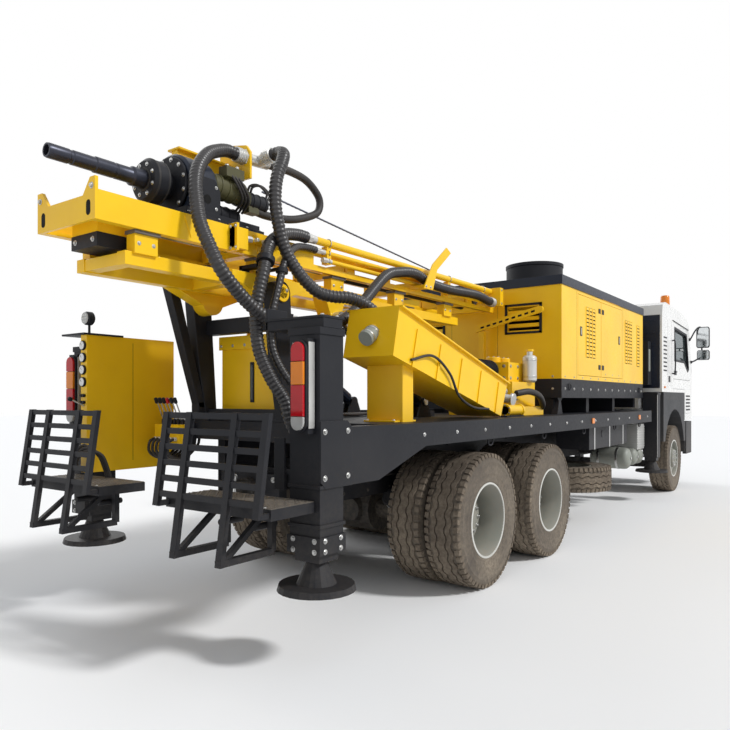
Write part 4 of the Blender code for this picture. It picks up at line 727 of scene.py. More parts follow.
def rotary_head():
    z = Zone("head", "head")
    x0, x1 = HEAD_X
    low = MAST_TOP + SEAT
    axis = SPINDLE_Z
    block(z(BLACK), (x0 - 0.10, x1 + 0.35), (-0.29, 0.29), (low, low + 0.022))
    block(z(BLACK), (x0 - 0.08, x1 + 0.33), (-0.265, 0.265), (low + 0.02, low + 0.06))
    for _, side in SIDES:
        bolts(z(STEEL), [(x, side * 0.277, low + 0.022) for x in row(x0 - 0.07, x1 + 0.32, 6)], (0, 0, 1),
              0.009, 0.008)
        block(z(NAVY), (x0 + 0.01, x1 - 0.01), sided(side, (0.21, 0.235)), (low + 0.05, axis))
        plate = [
            (x0 + 0.03, low + 0.05), (x1 - 0.03, low + 0.05), (x1 - 0.005, low + 0.09),
            (x1 - 0.005, axis - 0.02), (x1 - 0.05, axis + 0.05), (x0 + 0.05, axis + 0.05),
            (x0 + 0.005, axis - 0.02), (x0 + 0.005, low + 0.09),
        ]
        sheet(z(BLACK), plate, sided(side, (0.228, 0.240)))
        bolts(z(STEEL), [(x, side * 0.240, h) for x in (x0 + 0.04, x1 - 0.04) for h in (low + 0.10, axis)],
              (0, side, 0), 0.008, 0.007)
        # Painted shade: a dark disc on each side plate stands for the shade inside a round hole.
        drum(z(SHADE_AND_BLACK), ((x0 + x1) / 2, side * 0.236, low + 0.15), ((x0 + x1) / 2, side * 0.2412, low + 0.15),
             0.030, 0.0)
    block(z(NAVY), (x0, x1), (-0.215, 0.215), (low + 0.05, axis))
    axial(z(NAVY), (x0, x1), 0, axis, 0.22, 0.015, 64)
    axial(z(BLACK), (x0 - 0.022, x0 + 0.002), 0, axis, 0.195, 0.006, 56)
    bolt_ring(z(STEEL), (x0 - 0.022, 0, axis), (-1, 0, 0), 0.172, 12)
    axial(z(BLACK), (x1 - 0.002, x1 + 0.03), 0, axis, 0.20, 0.010, 56)
    bolt_ring(z(STEEL), (x1 + 0.03, 0, axis), (1, 0, 0), 0.182, 14)
    # Swivel drum with its neck, rims and face
    axial(z(BLACK), (x0 - 0.075, x0 - 0.015), 0, axis, 0.085, 0.004, 36)
    axial(z(BLACK), (x0 - 0.20, x0 - 0.07), 0, axis, 0.138, 0.020, 56)
    for x in (x0 - 0.172, x0 - 0.098):
        axial(z(CAST), (x - 0.008, x + 0.008), 0, axis, 0.1405, 0.003, 56)
    bolt_ring(z(STEEL), (x0 - 0.20, 0, axis), (-1, 0, 0), 0.098, 8, 0.009, 0.008)
    axial(z(CAST), (x0 - 0.204, x0 - 0.19), 0, axis, 0.075, 0.003, 40)
    # Drive motors: side distance, height, radius, rear end, front end, finish
    motors = (
        (-0.14, 2.96, 0.085, x1 - 0.02, x1 + 0.27, OLIVE), (0.14, 2.96, 0.085, x1 - 0.02, x1 + 0.27, BLACK),
        (-0.12, 2.94, 0.065, x1 + 0.25, x1 + 0.52, BLACK),
        (-0.06, 2.80, 0.070, x1 - 0.02, x1 + 0.29, BLACK),
    )
    for y, height, radius, rear, front, finish in motors:
        axial(z(finish), (rear, front), y, height, radius * 0.93, 0.010, 36)
        for x in row(rear + 0.06, front - 0.03, 4):
            axial(z(finish), (x - 0.007, x + 0.007), y, height, radius, 0.002, 36)
        bolt_ring(z(STEEL), (front, y, height), (1, 0, 0), radius * 0.7, 6, 0.007, 0.006)
    axial(z(OLIVE), (x1 + 0.30, x1 + 0.33), -0.12, 2.94, 0.069, 0.004, 36)
    block(z(OLIVE), (x1 + 0.05, x1 + 0.21), (-0.24, -0.16), (3.02, 3.09))
    block(z(OLIVE), (x1 + 0.33, x1 + 0.43), (-0.16, -0.09), (2.85, 2.92))
    axial(z(STEEL), x1 + 0.08, -0.21, (3.09, 3.11), 0.014)
    axial(z(STEEL), x1 + 0.17, -0.21, (3.09, 3.115), 0.014)
    # Arm and plate that carry the hose ends
    block(z(YELLOW), (-2.10, -1.63), (0.02, 0.08), (3.08, 3.19))
    block(z(YELLOW), (-2.11, -1.63), (-0.01, 0.11), (3.188, 3.202))
    block(z(YELLOW), (-2.11, -2.00), (-0.01, 0.11), (3.075, 3.135))
    edge = [(-0.19, 3.08), (0.12, 3.08), (0.12, 3.33), (0.06, 3.36), (-0.15, 3.32), (-0.19, 3.27)]
    sheet(z(YELLOW), edge, (-1.64, -1.62), "X")
    bolts(z(STEEL), [(-1.62, 0.085, h) for h in (3.12, 3.27)], (1, 0, 0), 0.009, 0.008)
    bolts(z(STEEL), [(-1.64, 0.0, h) for h in (3.12, 3.28)], (-1, 0, 0), 0.009, 0.008)
    ferrule(z(ALLOY), (-1.72, -0.125, 3.24), (-1.642, -0.125, 3.24), 0.053)
    axial(z(ALLOY), (-1.645, -1.60), -0.125, 3.24, 0.060, 0.004, 6)
    drum(z(ALLOY), (-1.60, -0.125, 3.24), (-1.44, -0.125, 3.252), 0.040, 0.004)
    ferrule(z(ALLOY), (-1.47, -0.125, 3.251), (-1.40, -0.125, 3.255), 0.039)
    drum(z(ALLOY), (-1.49, -0.125, 3.25), (-1.49, -0.19, 3.26), 0.046, 0.004)
    ferrule(z(ALLOY), (-1.49, -0.185, 3.262), (-1.49, -0.2697, 3.27), 0.053)
    # Thin drive hoses between the valve block and the motors
    for shift in (0.0, 0.03, 0.06):
        pipe(z(PLAIN_HOSE), [(x1 + 0.07 + shift, -0.20, 3.08), (x1 + 0.12 + shift, -0.245, 3.00),
             (x1 + 0.20 + shift, -0.23, 2.90), (x1 + 0.22 + shift, -0.14, 2.83)], 0.009)
    for shift in (0.0, 0.028):
        pipe(z(PLAIN_HOSE), [(-1.60 + shift, -0.12, 2.99), (-1.58 + shift, -0.13, 3.05),
             (-1.50 + shift, -0.14, 3.07), (-1.43 + shift, -0.15, 3.02), (-1.45 + shift, -0.13, 2.97)],
             0.009)
    z.close(("rotary_head",), soft=0.0015)


HEAD_LOOP_R = 0.03
HEAD_LOOP = [
    (-1.40, -0.125, 3.255), (-1.33, -0.125, 3.259), (-1.15, -0.125, 3.27), (-0.97, -0.125, 3.25),
    (-0.84, -0.125, 3.18), (-0.80, -0.125, 3.11), (-0.83, -0.125, 3.03), (-0.94, -0.125, 2.97),
    (-1.10, -0.125, 2.915), (-1.26, -0.125, 2.885), (-1.42, -0.125, 2.875), (-1.519, -0.125, 2.88),
]


def head_loop():
    """Smooth hose that turns back from the hose plate to the motor's port."""
    fine = smooth_route(HEAD_LOOP, 0.02)
    bm = bmesh.new()
    sweep(bm, fine, HEAD_LOOP_R, 20)
    made = placed("head_loop_hose", bm, PLAIN_HOSE, "head", smooth=80)


def spindle():
    """Drill coupling: stepped and grooved, with an open tip."""
    profile = [
        (0, 0), (0.058, 0), (0.060, 0.002), (0.060, 0.088), (0.056, 0.094), (0.050, 0.098), (0.048, 0.102),
        (0.048, 0.200), (0.045, 0.204), (0.045, 0.214), (0.048, 0.218), (0.048, 0.338), (0.043, 0.345),
        (0.043, 0.480), (0.0395, 0.485), (0.0395, 0.500), (0.043, 0.505), (0.043, 0.620), (0.040, 0.6297),
        (0.030, 0.6297), (0.027, 0.600), (0.024, 0.52), (0, 0.52),
    ]
    z = Zone("spindle", "spindle")
    lathe(z(ROD_STEEL), profile, (-2.3803, 0, SPINDLE_Z), (-1, 0, 0), 48)
    z.close(("spindle",), smooth=30)


# Mast

WINDOWS = 6
WINDOW_X = -1.08
WINDOW_L = 0.42
WINDOW_PITCH = 0.52
PIPE_Y = -0.335


def mast_details():
    z = Zone("mast", "mast")
    inner = MAST_HALF_W - 0.055
    low, top = MAST_BOTTOM, MAST_TOP
    rear = MAST_REAR_X + 0.018
    window_front = WINDOW_X + (WINDOWS - 1) * WINDOW_PITCH + WINDOW_L
    for _, side in SIDES:
        web = sided(side, (MAST_HALF_W - 0.025, MAST_HALF_W))
        block(z(YELLOW), (rear, WINDOW_X), web, (low, top))
        block(z(YELLOW), (window_front, MAST_FRONT_X), web, (low, top))
        block(z(YELLOW), (WINDOW_X - 0.001, window_front + 0.001), web, (low, low + 0.045))
        block(z(YELLOW), (WINDOW_X - 0.001, window_front + 0.001), web, (top - 0.05, top))
        for i in range(WINDOWS - 1):
            x = WINDOW_X + i * WINDOW_PITCH + WINDOW_L
            block(z(YELLOW), (x, x + WINDOW_PITCH - WINDOW_L), web, (low + 0.044, top - 0.049))
        for flange in ((top - 0.025, top), (low, low + 0.025)):
            block(z(YELLOW), (rear, MAST_FRONT_X), sided(side, (inner, MAST_HALF_W - 0.01)), flange)
        for x in (-2.30, -1.72, -1.40):
            sheet(z(YELLOW), [(x, top - 0.02), (x + 0.10, top - 0.02), (x + 0.05, low + 0.02)],
                  sided(side, (MAST_HALF_W - 0.002, MAST_HALF_W + 0.006)))
        bolts(z(STEEL), [(MAST_REAR_X, side * 0.268, top + 0.02)], (-1, 0, 0), 0.012, 0.012)
    end = [
        (-MAST_HALF_W, low), (MAST_HALF_W, low), (MAST_HALF_W, top + 0.07),
        (MAST_HALF_W - 0.05, top + 0.07), (MAST_HALF_W - 0.12, top - 0.02),
        (-MAST_HALF_W + 0.12, top - 0.02), (-MAST_HALF_W + 0.05, top + 0.07), (-MAST_HALF_W, top + 0.07),
    ]
    sheet(z(YELLOW), end, (MAST_REAR_X, MAST_REAR_X + 0.02), "X")
    for _, side in SIDES:
        # Painted shade: dark slots in the end plate stand for the shade inside its eyes.
        eye = arc((side * 0.235, top - 0.072), 0.022, 0, 180, 9) + arc((side * 0.235, top - 0.116), 0.022,
                                                                       180, 360, 9)
        sheet(z(SHADE_AND_BLACK), eye, (MAST_REAR_X - 0.0008, MAST_REAR_X + 0.01), "X")
    for x in (-2.45, -1.65, -0.62, 0.42, 1.46, 2.03):
        block(z(YELLOW), (x - 0.04, x + 0.04), (-inner - 0.02, inner + 0.02), (low + 0.02, top - 0.05))
    # Feed cylinder inside the mast, with its rod
    axial(z(BLACK), (-0.40, 1.85), 0.0, low + 0.085, 0.045, 0.006, 28)
    axial(z(STEEL), (-2.40, -0.39), 0.0, low + 0.085, 0.024, 0.002, 20)
    # Pipes on the right side: height, radius, rear end
    for height, radius, rear_x in ((top + 0.055, 0.030, -1.21), (top - 0.02, 0.018, -1.10),
            (top - 0.08, 0.018, -1.02)):
        axial(z(YELLOW), (rear_x + 0.10, 1.91), PIPE_Y, height, radius, 0.001, 24)
        axial(z(ALLOY), (rear_x, rear_x + 0.055), PIPE_Y, height, radius * 1.22, 0.003, 6)
        axial(z(ALLOY), (rear_x + 0.05, rear_x + 0.105), PIPE_Y, height, radius * 1.08, 0.003, 24)
    for x in (-0.95, 0.95, 1.70):
        block(z(YELLOW), (x - 0.025, x + 0.025), (PIPE_Y - 0.010, -MAST_HALF_W + 0.01),
              (top - 0.105, top + 0.03))
        for height, radius in ((top + 0.055, 0.034), (top - 0.02, 0.022), (top - 0.08, 0.022)):
            sweep(z(STEEL), [(x, PIPE_Y + 0.03, height + radius), *((x, PIPE_Y + v, height + w) for v,
                  w in arc((0, 0), radius, 90, 270, 9)), (x, PIPE_Y + 0.03, height - radius)], 0.004, 8)
    block(z(YELLOW), (1.90, 1.98), (-0.455, -0.29), (2.56, 2.76))
    bolts(z(STEEL), [(1.94, -0.455, h) for h in (2.585, 2.735)], (0, -1, 0), 0.010, 0.008)
    ferrule(z(ALLOY), (1.80, -0.372, 2.60), (1.90, -0.365, 2.60), 0.052)
    guard = [(0.24, 2.53), (0.40, 2.53), (0.48, 2.73), (0.74, 2.93), (0.66, 2.97), (0.40, 2.77)]
    sheet(z(YELLOW), guard, (-0.479, -0.467))
    block(z(YELLOW), (0.26, 0.38), (-0.475, -MAST_HALF_W + 0.01), (2.54, 2.565))
    bolts(z(STEEL), [(x, -0.479, 2.552) for x in (0.28, 0.36)], (0, -1, 0), 0.009, 0.008)
    # Flange box of the feed motor on the right side
    block(z(YELLOW), (-1.93, -1.91), (-0.37, -0.29), (2.50, 2.68))
    block(z(YELLOW), (-1.93, -1.81), (-0.35, -0.29), (2.52, 2.66))
    bolts(z(STEEL), [(-1.93, y, h) for y in (-0.355, -0.305) for h in (2.52, 2.66)], (-1, 0, 0), 0.009,
          0.008)
    axial(z(ALLOY), (-1.81, -1.76), -0.33, 2.60, 0.022, 0.002, 6)
    axial(z(YELLOW), (-1.77, -1.62), -0.33, 2.60, 0.018, 0.002)
    for x in (-1.74, -1.67):
        axial(z(ALLOY), x, (-0.33, -0.375), 2.60, 0.014, 0.002, 6)
    # Rod clamp under the rear end
    block(z(YELLOW), (-2.78, -2.50), (-0.13, 0.13), (low - 0.099, low + 0.10))
    block(z(BLACK), (-2.784, -2.496), (-0.134, 0.134), (low - 0.103, low - 0.02))
    bolts(z(STEEL), [(-2.784, y, low - 0.06) for y in (-0.09, 0.09)], (-1, 0, 0), 0.011, 0.010)
    # Sheave and block at the front end
    sheave = (1.98, -0.10, top + 0.012)
    for y in (-0.130, -0.078):
        sheet(z(YELLOW), [(1.90, top - 0.01), (2.06, top - 0.01), (2.06, top + 0.04), (2.02, top + 0.10),
              (1.94, top + 0.10), (1.90, top + 0.04)], (y, y + 0.008))
    lathe(z(CAST), [(0, -0.018), (0.088, -0.018), (0.088, -0.012), (0.074, 0), (0.088, 0.012),
          (0.088, 0.018), (0, 0.018)], sheave, (0, 1, 0), 40)
    axial(z(STEEL), 1.98, (-0.14, -0.06), sheave[2], 0.016, 0.002, 20)
    z.close(("mast",), soft=0.002)


# Cradle and its support

SHOE_X = (-2.55, -1.60, -0.75, 0.15, 1.05)
CRADLE_X = (-2.68, 1.30)
CRADLE_Z = (2.30, 2.38)
LIFT_EYE = (-0.90, 2.15)
PIVOT_X, PIVOT_Z = -1.60, 2.25


def cradle_details():
    z = Zone("cradle", "cradle")
    low, top = CRADLE_Z
    for _, side in SIDES:
        block(z(YELLOW), CRADLE_X, sided(side, (0.17, 0.25)), CRADLE_Z)
        for x in SHOE_X:
            block(z(YELLOW), (x - 0.08, x + 0.08), sided(side, (0.19, 0.27)),
                  (top - 0.01, MAST_BOTTOM - 0.02))
            block(z(PLATE), (x - 0.09, x + 0.09), sided(side, (0.185, 0.285)),
                  (MAST_BOTTOM - 0.021, MAST_BOTTOM - 0.0004))
            bolts(z(STEEL), [(x + shift, side * 0.27, top + 0.05) for shift in (-0.05, 0.05)], (0, side, 0),
                  0.009, 0.008)
        cheek = [
            (PIVOT_X - 0.36, low + 0.02), (PIVOT_X - 0.36, top - 0.01), (PIVOT_X + 0.36, top - 0.01),
            (PIVOT_X + 0.36, low + 0.02),
        ]
        cheek += arc((PIVOT_X, PIVOT_Z), 0.10, -20, -160, 13)
        sheet(z(YELLOW), cheek, sided(side, (0.24, 0.3597)))
        ear = [(LIFT_EYE[0] - 0.13, low + 0.02), (LIFT_EYE[0] - 0.055, LIFT_EYE[1])]
        ear += arc(LIFT_EYE, 0.055, 180, 360, 11)[1:] + [(LIFT_EYE[0] + 0.13, low + 0.02)]
        sheet(z(YELLOW), ear, sided(side, (0.24, 0.3697)))
        bar(z(STEEL), (LIFT_EYE[0], side * 0.30, LIFT_EYE[1]), (LIFT_EYE[0], side * 0.445, LIFT_EYE[1]),
            0.03, sides=28)
        axial(z(STEEL), PIVOT_X, (side * 0.30, side * 0.474), PIVOT_Z, 0.045, 0.004)
        axial(z(YELLOW), PIVOT_X, (side * 0.461, side * 0.474), PIVOT_Z, 0.062, 0.004, 40)
        bolts(z(STEEL), [(PIVOT_X + 0.035, side * 0.474, PIVOT_Z + 0.02)], (0, side, 0), 0.009, 0.008)
    for x in (-2.63, -1.80, -1.25, -0.35, 0.45, 1.25):
        block(z(YELLOW), (x - 0.045, x + 0.045), (-0.18, 0.18), (low + 0.005, top - 0.005))
    # Clamp that holds the hoses beside the hinge
    way = Vector((-0.4094, -0.1861, -0.8932))
    ring = Vector((-1.753, -0.455, 2.45))
    lathe(z(BLACK), [(0.048, -0.02), (0.062, -0.02), (0.062, 0.02), (0.048, 0.02), (0.048, -0.02)], ring,
          way, 32)
    block(z(BLACK), (-1.79, -1.72), (-0.405, -0.24), (2.405, 2.43))
    block(z(BLACK), (-1.79, -1.72), (-0.27, -0.24), (2.36, 2.43))
    small = Vector((-1.644, -0.5015, 2.39))
    lathe(z(BLACK), [(0.030, -0.016), (0.042, -0.016), (0.042, 0.016), (0.030, 0.016), (0.030, -0.016)],
          small, (-0.15, -0.03, -0.95), 28)
    block(z(BLACK), (-1.66, -1.63), (-0.465, -0.26), (2.395, 2.415))
    z.close(("cradle",), soft=0.002)


def support_details():
    z = Zone("support", "machine")
    foot = DECK_TOP + SEAT
    r = 0.085
    for _, side in SIDES:
        outline = [(PIVOT_X + r + 0.06, foot), (PIVOT_X + r, PIVOT_Z)] + arc((PIVOT_X, PIVOT_Z), r, 0, 180,
                                                                             17)[1:]
        outline += [(PIVOT_X - 0.035, 1.80), (PIVOT_X + 0.045, foot)]
        sheet(z(BLACK), outline, sided(side, (0.3605, 0.46)))
        block(z(BLACK), (PIVOT_X + 0.04, PIVOT_X + 0.17), sided(side, (0.34, 0.50)), (foot, foot + 0.02))
        bolts(z(STEEL), [(PIVOT_X + 0.155, side * y, foot + 0.02) for y in (0.355, 0.485)], (0, 0, 1),
              0.010, 0.008)
    block(z(BLACK), (PIVOT_X + 0.04, PIVOT_X + 0.13), (-0.45, 0.45), (2.01, 2.12))
    block(z(BLACK), (PIVOT_X + 0.06, PIVOT_X + 0.16), (-0.45, 0.45), (foot, foot + 0.09))
    strut = [(-1.62, 1.46), (-1.56, 1.46), (-1.86, 2.49), (-1.945, 2.49)]
    sheet(z(BLACK), strut, (0.37, 0.45))
    block(z(BLACK), (-1.63, -1.52), (0.37, 0.45), (1.42, 1.50))
    bolts(z(STEEL), [(-1.88, 0.45, 2.44), (-1.60, 0.45, 1.50)], (0, 1, 0), 0.010, 0.008)
    # Lift cylinders' base pins
    for _, side in SIDES:
        axial(z(STEEL), 0.30, (side * 0.455, side * 0.468), 1.50, 0.034, 0.003, 28)
    z.close(("mast_support",), soft=0.003)


# Rear end

def rear_details():
    z = Zone("rear", "machine")
    (px0, px1), (py0, py1) = POST_X, POST_Y
    for _, side in SIDES:
        block(z(BLACK), (px0 - 0.008, px1 + 0.008), sided(side, (py0 - 0.008, py1 + 0.008)),
              (POST_TOP - 0.035, POST_TOP + 0.006))
        for height in (0.80, 1.02):
            block(z(BLACK), (px0 - 0.010, px1 + 0.010), sided(side, (py0 - 0.010, py1 + 0.010)),
                  (height, height + 0.02))
        bolts(z(STEEL), [(px0 - 0.012, side * y, h) for y in (1.045, 1.205) for h in (0.67, 0.73)],
              (-1, 0, 0), 0.011, 0.009)
        bolts(z(STEEL), [(x, side * (py1 + 0.010), h) for x in (px0 + 0.035, px1 - 0.035)
              for h in (0.67, 0.73)], (0, side, 0), 0.011, 0.009)
        corner = [
            (-2.125, 1.06), (-2.085, 1.02), (-1.84, 1.02), (-1.84, 1.36), (-1.88, 1.40), (-2.125, 1.40),
        ]
        sheet(z(BLACK), corner, sided(side, (DECK_HALF_W + SEAT, 1.247)))
        bolts(z(STEEL), [(x, side * 1.247, h) for x in (-2.09, -1.88) for h in (1.08, 1.34)], (0, side, 0),
              0.012, 0.010)
        tail_lamp(z, side)
    # Arm that carries hoses on the right post
    block(z(BLACK), (-2.10, -1.93), (-1.245, -0.80), (POST_TOP + 0.0062, 1.985))
    block(z(BLACK), (-2.11, -1.92), (-1.25, -0.80), (1.98, 1.994))
    block(z(BLACK), (-2.10, -1.93), (-0.815, -0.80), (1.93, 2.06))
    bolts(z(STEEL), [(x, y, 1.994) for x in (-2.08, -1.95) for y in (-1.22, -1.02)], (0, 0, 1), 0.012,
          0.010)
    # Valve bank with levers on the rear deck plate, left of the upright mast's place
    block(z(BLACK), (-1.60, -1.5605), (0.48, 0.79), (1.14, 1.34))
    block(z(YELLOW), (-1.72, -1.595), (0.49, 0.78), (1.16, 1.33))
    for i, y in enumerate(row(0.52, 0.75, 6)):
        axial(z(BLACK), -1.66, y, (1.325, 1.37), 0.014, 0.003, 16)
        drum(z(STEEL), (-1.66, y, 1.365), (-1.72, y, 1.50 + 0.006 * (i % 2)), 0.0055, 0.001, 10)
        drum(z(RED if i == 2 else BLACK), (-1.718, y, 1.49), (-1.736, y, 1.535), 0.014, 0.006, 18)
        axial(z(ALLOY), (-1.72, -1.745), y, 1.22, 0.017, 0.002, 6)
        pipe(z(PLAIN_HOSE), [(-1.74, y, 1.22), (-1.785, y, 1.20), (-1.79, y + 0.005, 1.13),
             (-1.73, y + 0.01, 1.08), (-1.62, y + 0.02, 1.07), (-1.50, y + 0.02, 1.16),
             (-1.48, y + 0.02, 1.2197)], 0.011)
    # Ends of the lower hoses: a ferrule at the deck plate, its bracket and a union nut
    ferrule(z(ALLOY), (-1.655, -0.65, 1.297), (-1.5605, -0.65, 1.28), 0.052)
    block(z(BLACK), (-1.5605, -1.50), (-0.72, -0.58), (1.14, 1.22))
    axial(z(ALLOY), -1.53, -0.73, (1.3603, 1.42), 0.034, 0.002, 6)
    # Holder of a number plate, bare
    block(z(BLACK), (-2.135, -2.12), (-0.98, -0.90), (1.00, 1.30))
    # Stub pipes under the platforms
    for _, side in SIDES:
        for y in (0.62, 0.90):
            axial(z(BLACK), (-2.30, -2.12), side * y, 0.80, 0.020, 0.004, 20)
    z.close(soft=0.002)


def rounded(y_mid, half, low, high, top_round, bottom_round):
    """Outline of a lamp lens in (Y, Z), its top or bottom end round."""
    points = [(y_mid - half, low), (y_mid + half, low)] if not bottom_round else arc((y_mid, low + half),
                                                                                     half, 180, 360, 13)
    points += arc((y_mid, high - half), half, 0, 180, 13) if top_round else [(y_mid + half, high),
                                                                             (y_mid - half, high)]
    return points


# Lenses of a tail lamp: lower edge, upper edge, finish, round top, round bottom
LENSES = (
    (1.350, 1.425, "clear", False, True), (1.428, 1.600, "red", False, False),
    (1.603, 1.730, "amber", False, False), (1.733, 1.840, "red", True, False),
)


def tail_lamp(z, side):
    """Upright lamp column on the rear post."""
    finishes = {"clear": CLEAR, "red": RED, "amber": AMBER}
    y_mid, half = side * 1.145, 0.045
    sheet(z(BLACK), rounded(y_mid, half + 0.010, 1.338, 1.852, True, True), (-2.196, -2.1803), "X")
    for low, high, finish, top_round, bottom_round in LENSES:
        sheet(z(finishes[finish]), rounded(y_mid, half, low, high, top_round, bottom_round),
              (-2.212, -2.195), "X")
    block(z(ALLOY), (-2.178, -2.13), sided(side, (1.2003, 1.206)), (1.36, 1.84))
    block(z(ALLOY), (-2.178, -2.13), sided(side, (1.084, 1.0897)), (1.36, 1.84))


def platforms():
    z = Zone("platform", "machine")
    x0, x1 = PLATFORM_X
    for _, side in SIDES:
        block(z(PLATE), (x0 + 0.004, x1 - 0.003), sided(side, (0.35, 1.195)),
              (PLATFORM_TOP, PLATFORM_TOP + 0.003))
        for i in range(8):
            for j in range(21):
                x = x0 + 0.028 + 0.042 * i
                y = side * (0.365 + 0.04 * j)
                lean = 0.010 if (i + j) % 2 else -0.010
                bar(z(PLATE), (x - lean, y - 0.010, PLATFORM_TOP + 0.003),
                    (x + lean, y + 0.010, PLATFORM_TOP + 0.003), 0.004, sides=6)
        bolts(z(STEEL), [(x0 + 0.02, side * y, PLATFORM_TOP + 0.003) for y in (0.40, 0.72, 1.14)],
              (0, 0, 1), 0.009, 0.006)
    z.close()


def console():
    z = Zone("console", "machine")
    x0, x1 = -2.20, -1.42
    y0, y1 = 0.93, 1.0097
    block(z(YELLOW), (x0, x1), (y0, y1), (PLATFORM_TOP + 0.0303, 2.0))
    # Painted shade: a thin dark line stands for the shade in the cabinet's panel gap.
    block(z(SHADE_AND_BLACK), (-1.812, -1.808), (y0 - 0.0006, y0 + 0.01), (1.05, 1.96))
    block(z(BLACK), (x0 - 0.03, x0 + 0.30), (y0 - 0.01, y1 + 0.21), (1.998, 2.012))
    # Gauges down the rear face, each with its rim and dial
    for height in (1.92, 1.83, 1.74, 1.65):
        axial(z(BLACK), (x0 + 0.001, x0 - 0.018), 0.970, height, 0.036, 0.004, 32)
        axial(z(WHITE), (x0 - 0.017, x0 - 0.0195), 0.970, height, 0.030, 0.0005, 32)
        bar(z(SHADE_AND_BLACK), (x0 - 0.0200, 0.970, height), (x0 - 0.0200, 0.985, height + 0.018), 0.0014, sides=6)
    for height in (1.55, 1.50):
        axial(z(BLACK), (x0, x0 - 0.02), 0.955, height, 0.012, 0.002, 16)
        axial(z(BLACK), (x0, x0 - 0.02), 0.985, height, 0.012, 0.002, 16)
    drum(z(STEEL), (x0 + 0.01, 0.965, 1.47), (x0 - 0.10, 0.965, 1.52), 0.006, 0.001, 12)
    drum(z(BLACK), (x0 - 0.095, 0.965, 1.518), (x0 - 0.125, 0.965, 1.53), 0.016, 0.006, 20)
    # Work lamp with its ring of small lights
    bar(z(BLACK), (x0 + 0.03, 0.947, 2.0), (x0 + 0.03, 0.947, 2.08), 0.009)
    axial(z(BLACK), (x0 - 0.005, x0 + 0.055), 0.947, 2.12, 0.050, 0.010, 40)
    axial(z(CLEAR), (x0 - 0.009, x0 - 0.004), 0.947, 2.12, 0.043, 0.001, 36)
    turn = [(0.0, 0.0)] + [(0.024 * math.cos(a), 0.024 * math.sin(a))
            for a in (math.pi * i / 3 for i in range(6))]
    for dy, dz in turn:
        axial(z(ALLOY), (x0 - 0.0115, x0 - 0.008), 0.947 + dy, 2.12 + dz, 0.007, 0.001, 14)
    # Hoses at the foot
    for i in range(3):
        y = 0.945 + 0.022 * i
        pipe(z(PLAIN_HOSE), [(x0 + 0.02, y, 1.00), (x0 - 0.05, y, 1.01), (x0 - 0.10, y - 0.05, 1.08),
             (x0 - 0.07, y - 0.12, 1.15 + 0.02 * i), (x0 + 0.02, y - 0.17, 1.12),
             (x0 + 0.06, y - 0.20, 1.00), (x0 + 0.06, y - 0.22, 0.955)], 0.012)
    z.close(("console",), soft=0.003)


def centre_tank_details():
    z = Zone("centre_tank", "machine")
    axial(z(YELLOW), -1.30, 0.12, (2.0003, 2.03), 0.055, 0.004, 36)
    axial(z(BLACK), -1.30, 0.12, (2.029, 2.06), 0.042, 0.006, 32)
    bolt_ring(z(STEEL), (-1.30, 0.12, 2.03), (0, 0, 1), 0.048, 6, 0.005, 0.004)
    block(z(BLACK), (-1.4365, -1.4303), (-0.02, 0.02), (1.50, 1.80))
    block(z(GLASS), (-1.4395, -1.4364), (-0.012, 0.012), (1.52, 1.78))
    bolts(z(STEEL), [(-1.4503, y, h) for y in row(-0.32, 0.32, 6) for h in (1.93,)], (-1, 0, 0), 0.008,
          0.006)
    z.close(soft=0.0015)


def trough_details():
    z = Zone("trough", "machine")
    low, high = Vector((-1.11, 0, 2.17)), Vector((0.66, 0, 1.67))
    for y in (TROUGH_Y[0] - 0.028, TROUGH_Y[1] + SEAT):
        rim = [
            (low.x, low.z - 0.012), (high.x, high.z - 0.012), (high.x, high.z + 0.001),
            (low.x, low.z + 0.001),
        ]
        sheet(z(YELLOW), rim, (y, y + 0.0277))
    for x in row(-0.95, 0.40, 5):
        floor = 1.82 - (x + 1.19) * 0.26
        sheet(z(YELLOW), [(x - 0.012, floor - 0.004), (x + 0.012, floor - 0.010), (x + 0.09, floor + 0.26),
              (x + 0.066, floor + 0.268)], (TROUGH_Y[0] - 0.010, TROUGH_Y[0] - SEAT))
    way = Vector((0.874, 0, 0.486)).normalized()
    mid = Vector((-1.12, -0.90, 2.005))
    drum(z(YELLOW), mid - way * 0.13, mid + way * 0.12, 0.050, 0.002, 36)
    drum(z(TANK), mid - way * 0.135, mid - way * 0.02, 0.056, 0.003, 36)
    for shift in (-0.11, -0.05):
        drum(z(STEEL), mid + way * shift, mid + way * (shift + 0.012), 0.059, 0.001, 36)
    bolts(z(STEEL), [(x, y, DECK_TOP + 0.012) for x in (-1.03, -0.79) for y in (-1.00, -0.77)], (0, 0, 1),
          0.010, 0.008)
    block(z(YELLOW), (-1.05, -0.77), (-1.02, -0.75), (DECK_TOP + SEAT, DECK_TOP + 0.012))
    pipe(z(PLAIN_HOSE), [(-0.98, -1.112, 1.80), (-0.70, -1.125, 1.84), (-0.45, -1.125, 1.72),
         (-0.30, -1.125, 1.55), (-0.05, -1.118, 1.46), (0.25, -1.112, 1.44)], 0.010)
    # Cabinet beside the trough
    block(z(YELLOW), (-0.62, -0.20), (-0.64, -0.49), (DECK_TOP + SEAT, 1.60))
    # Painted shade: a thin dark line stands for the shade in the cabinet's door gap.
    block(z(SHADE_AND_BLACK), (-0.412, -0.408), (-0.641, -0.63), (1.38, 1.59))
    z.close(soft=0.0015)


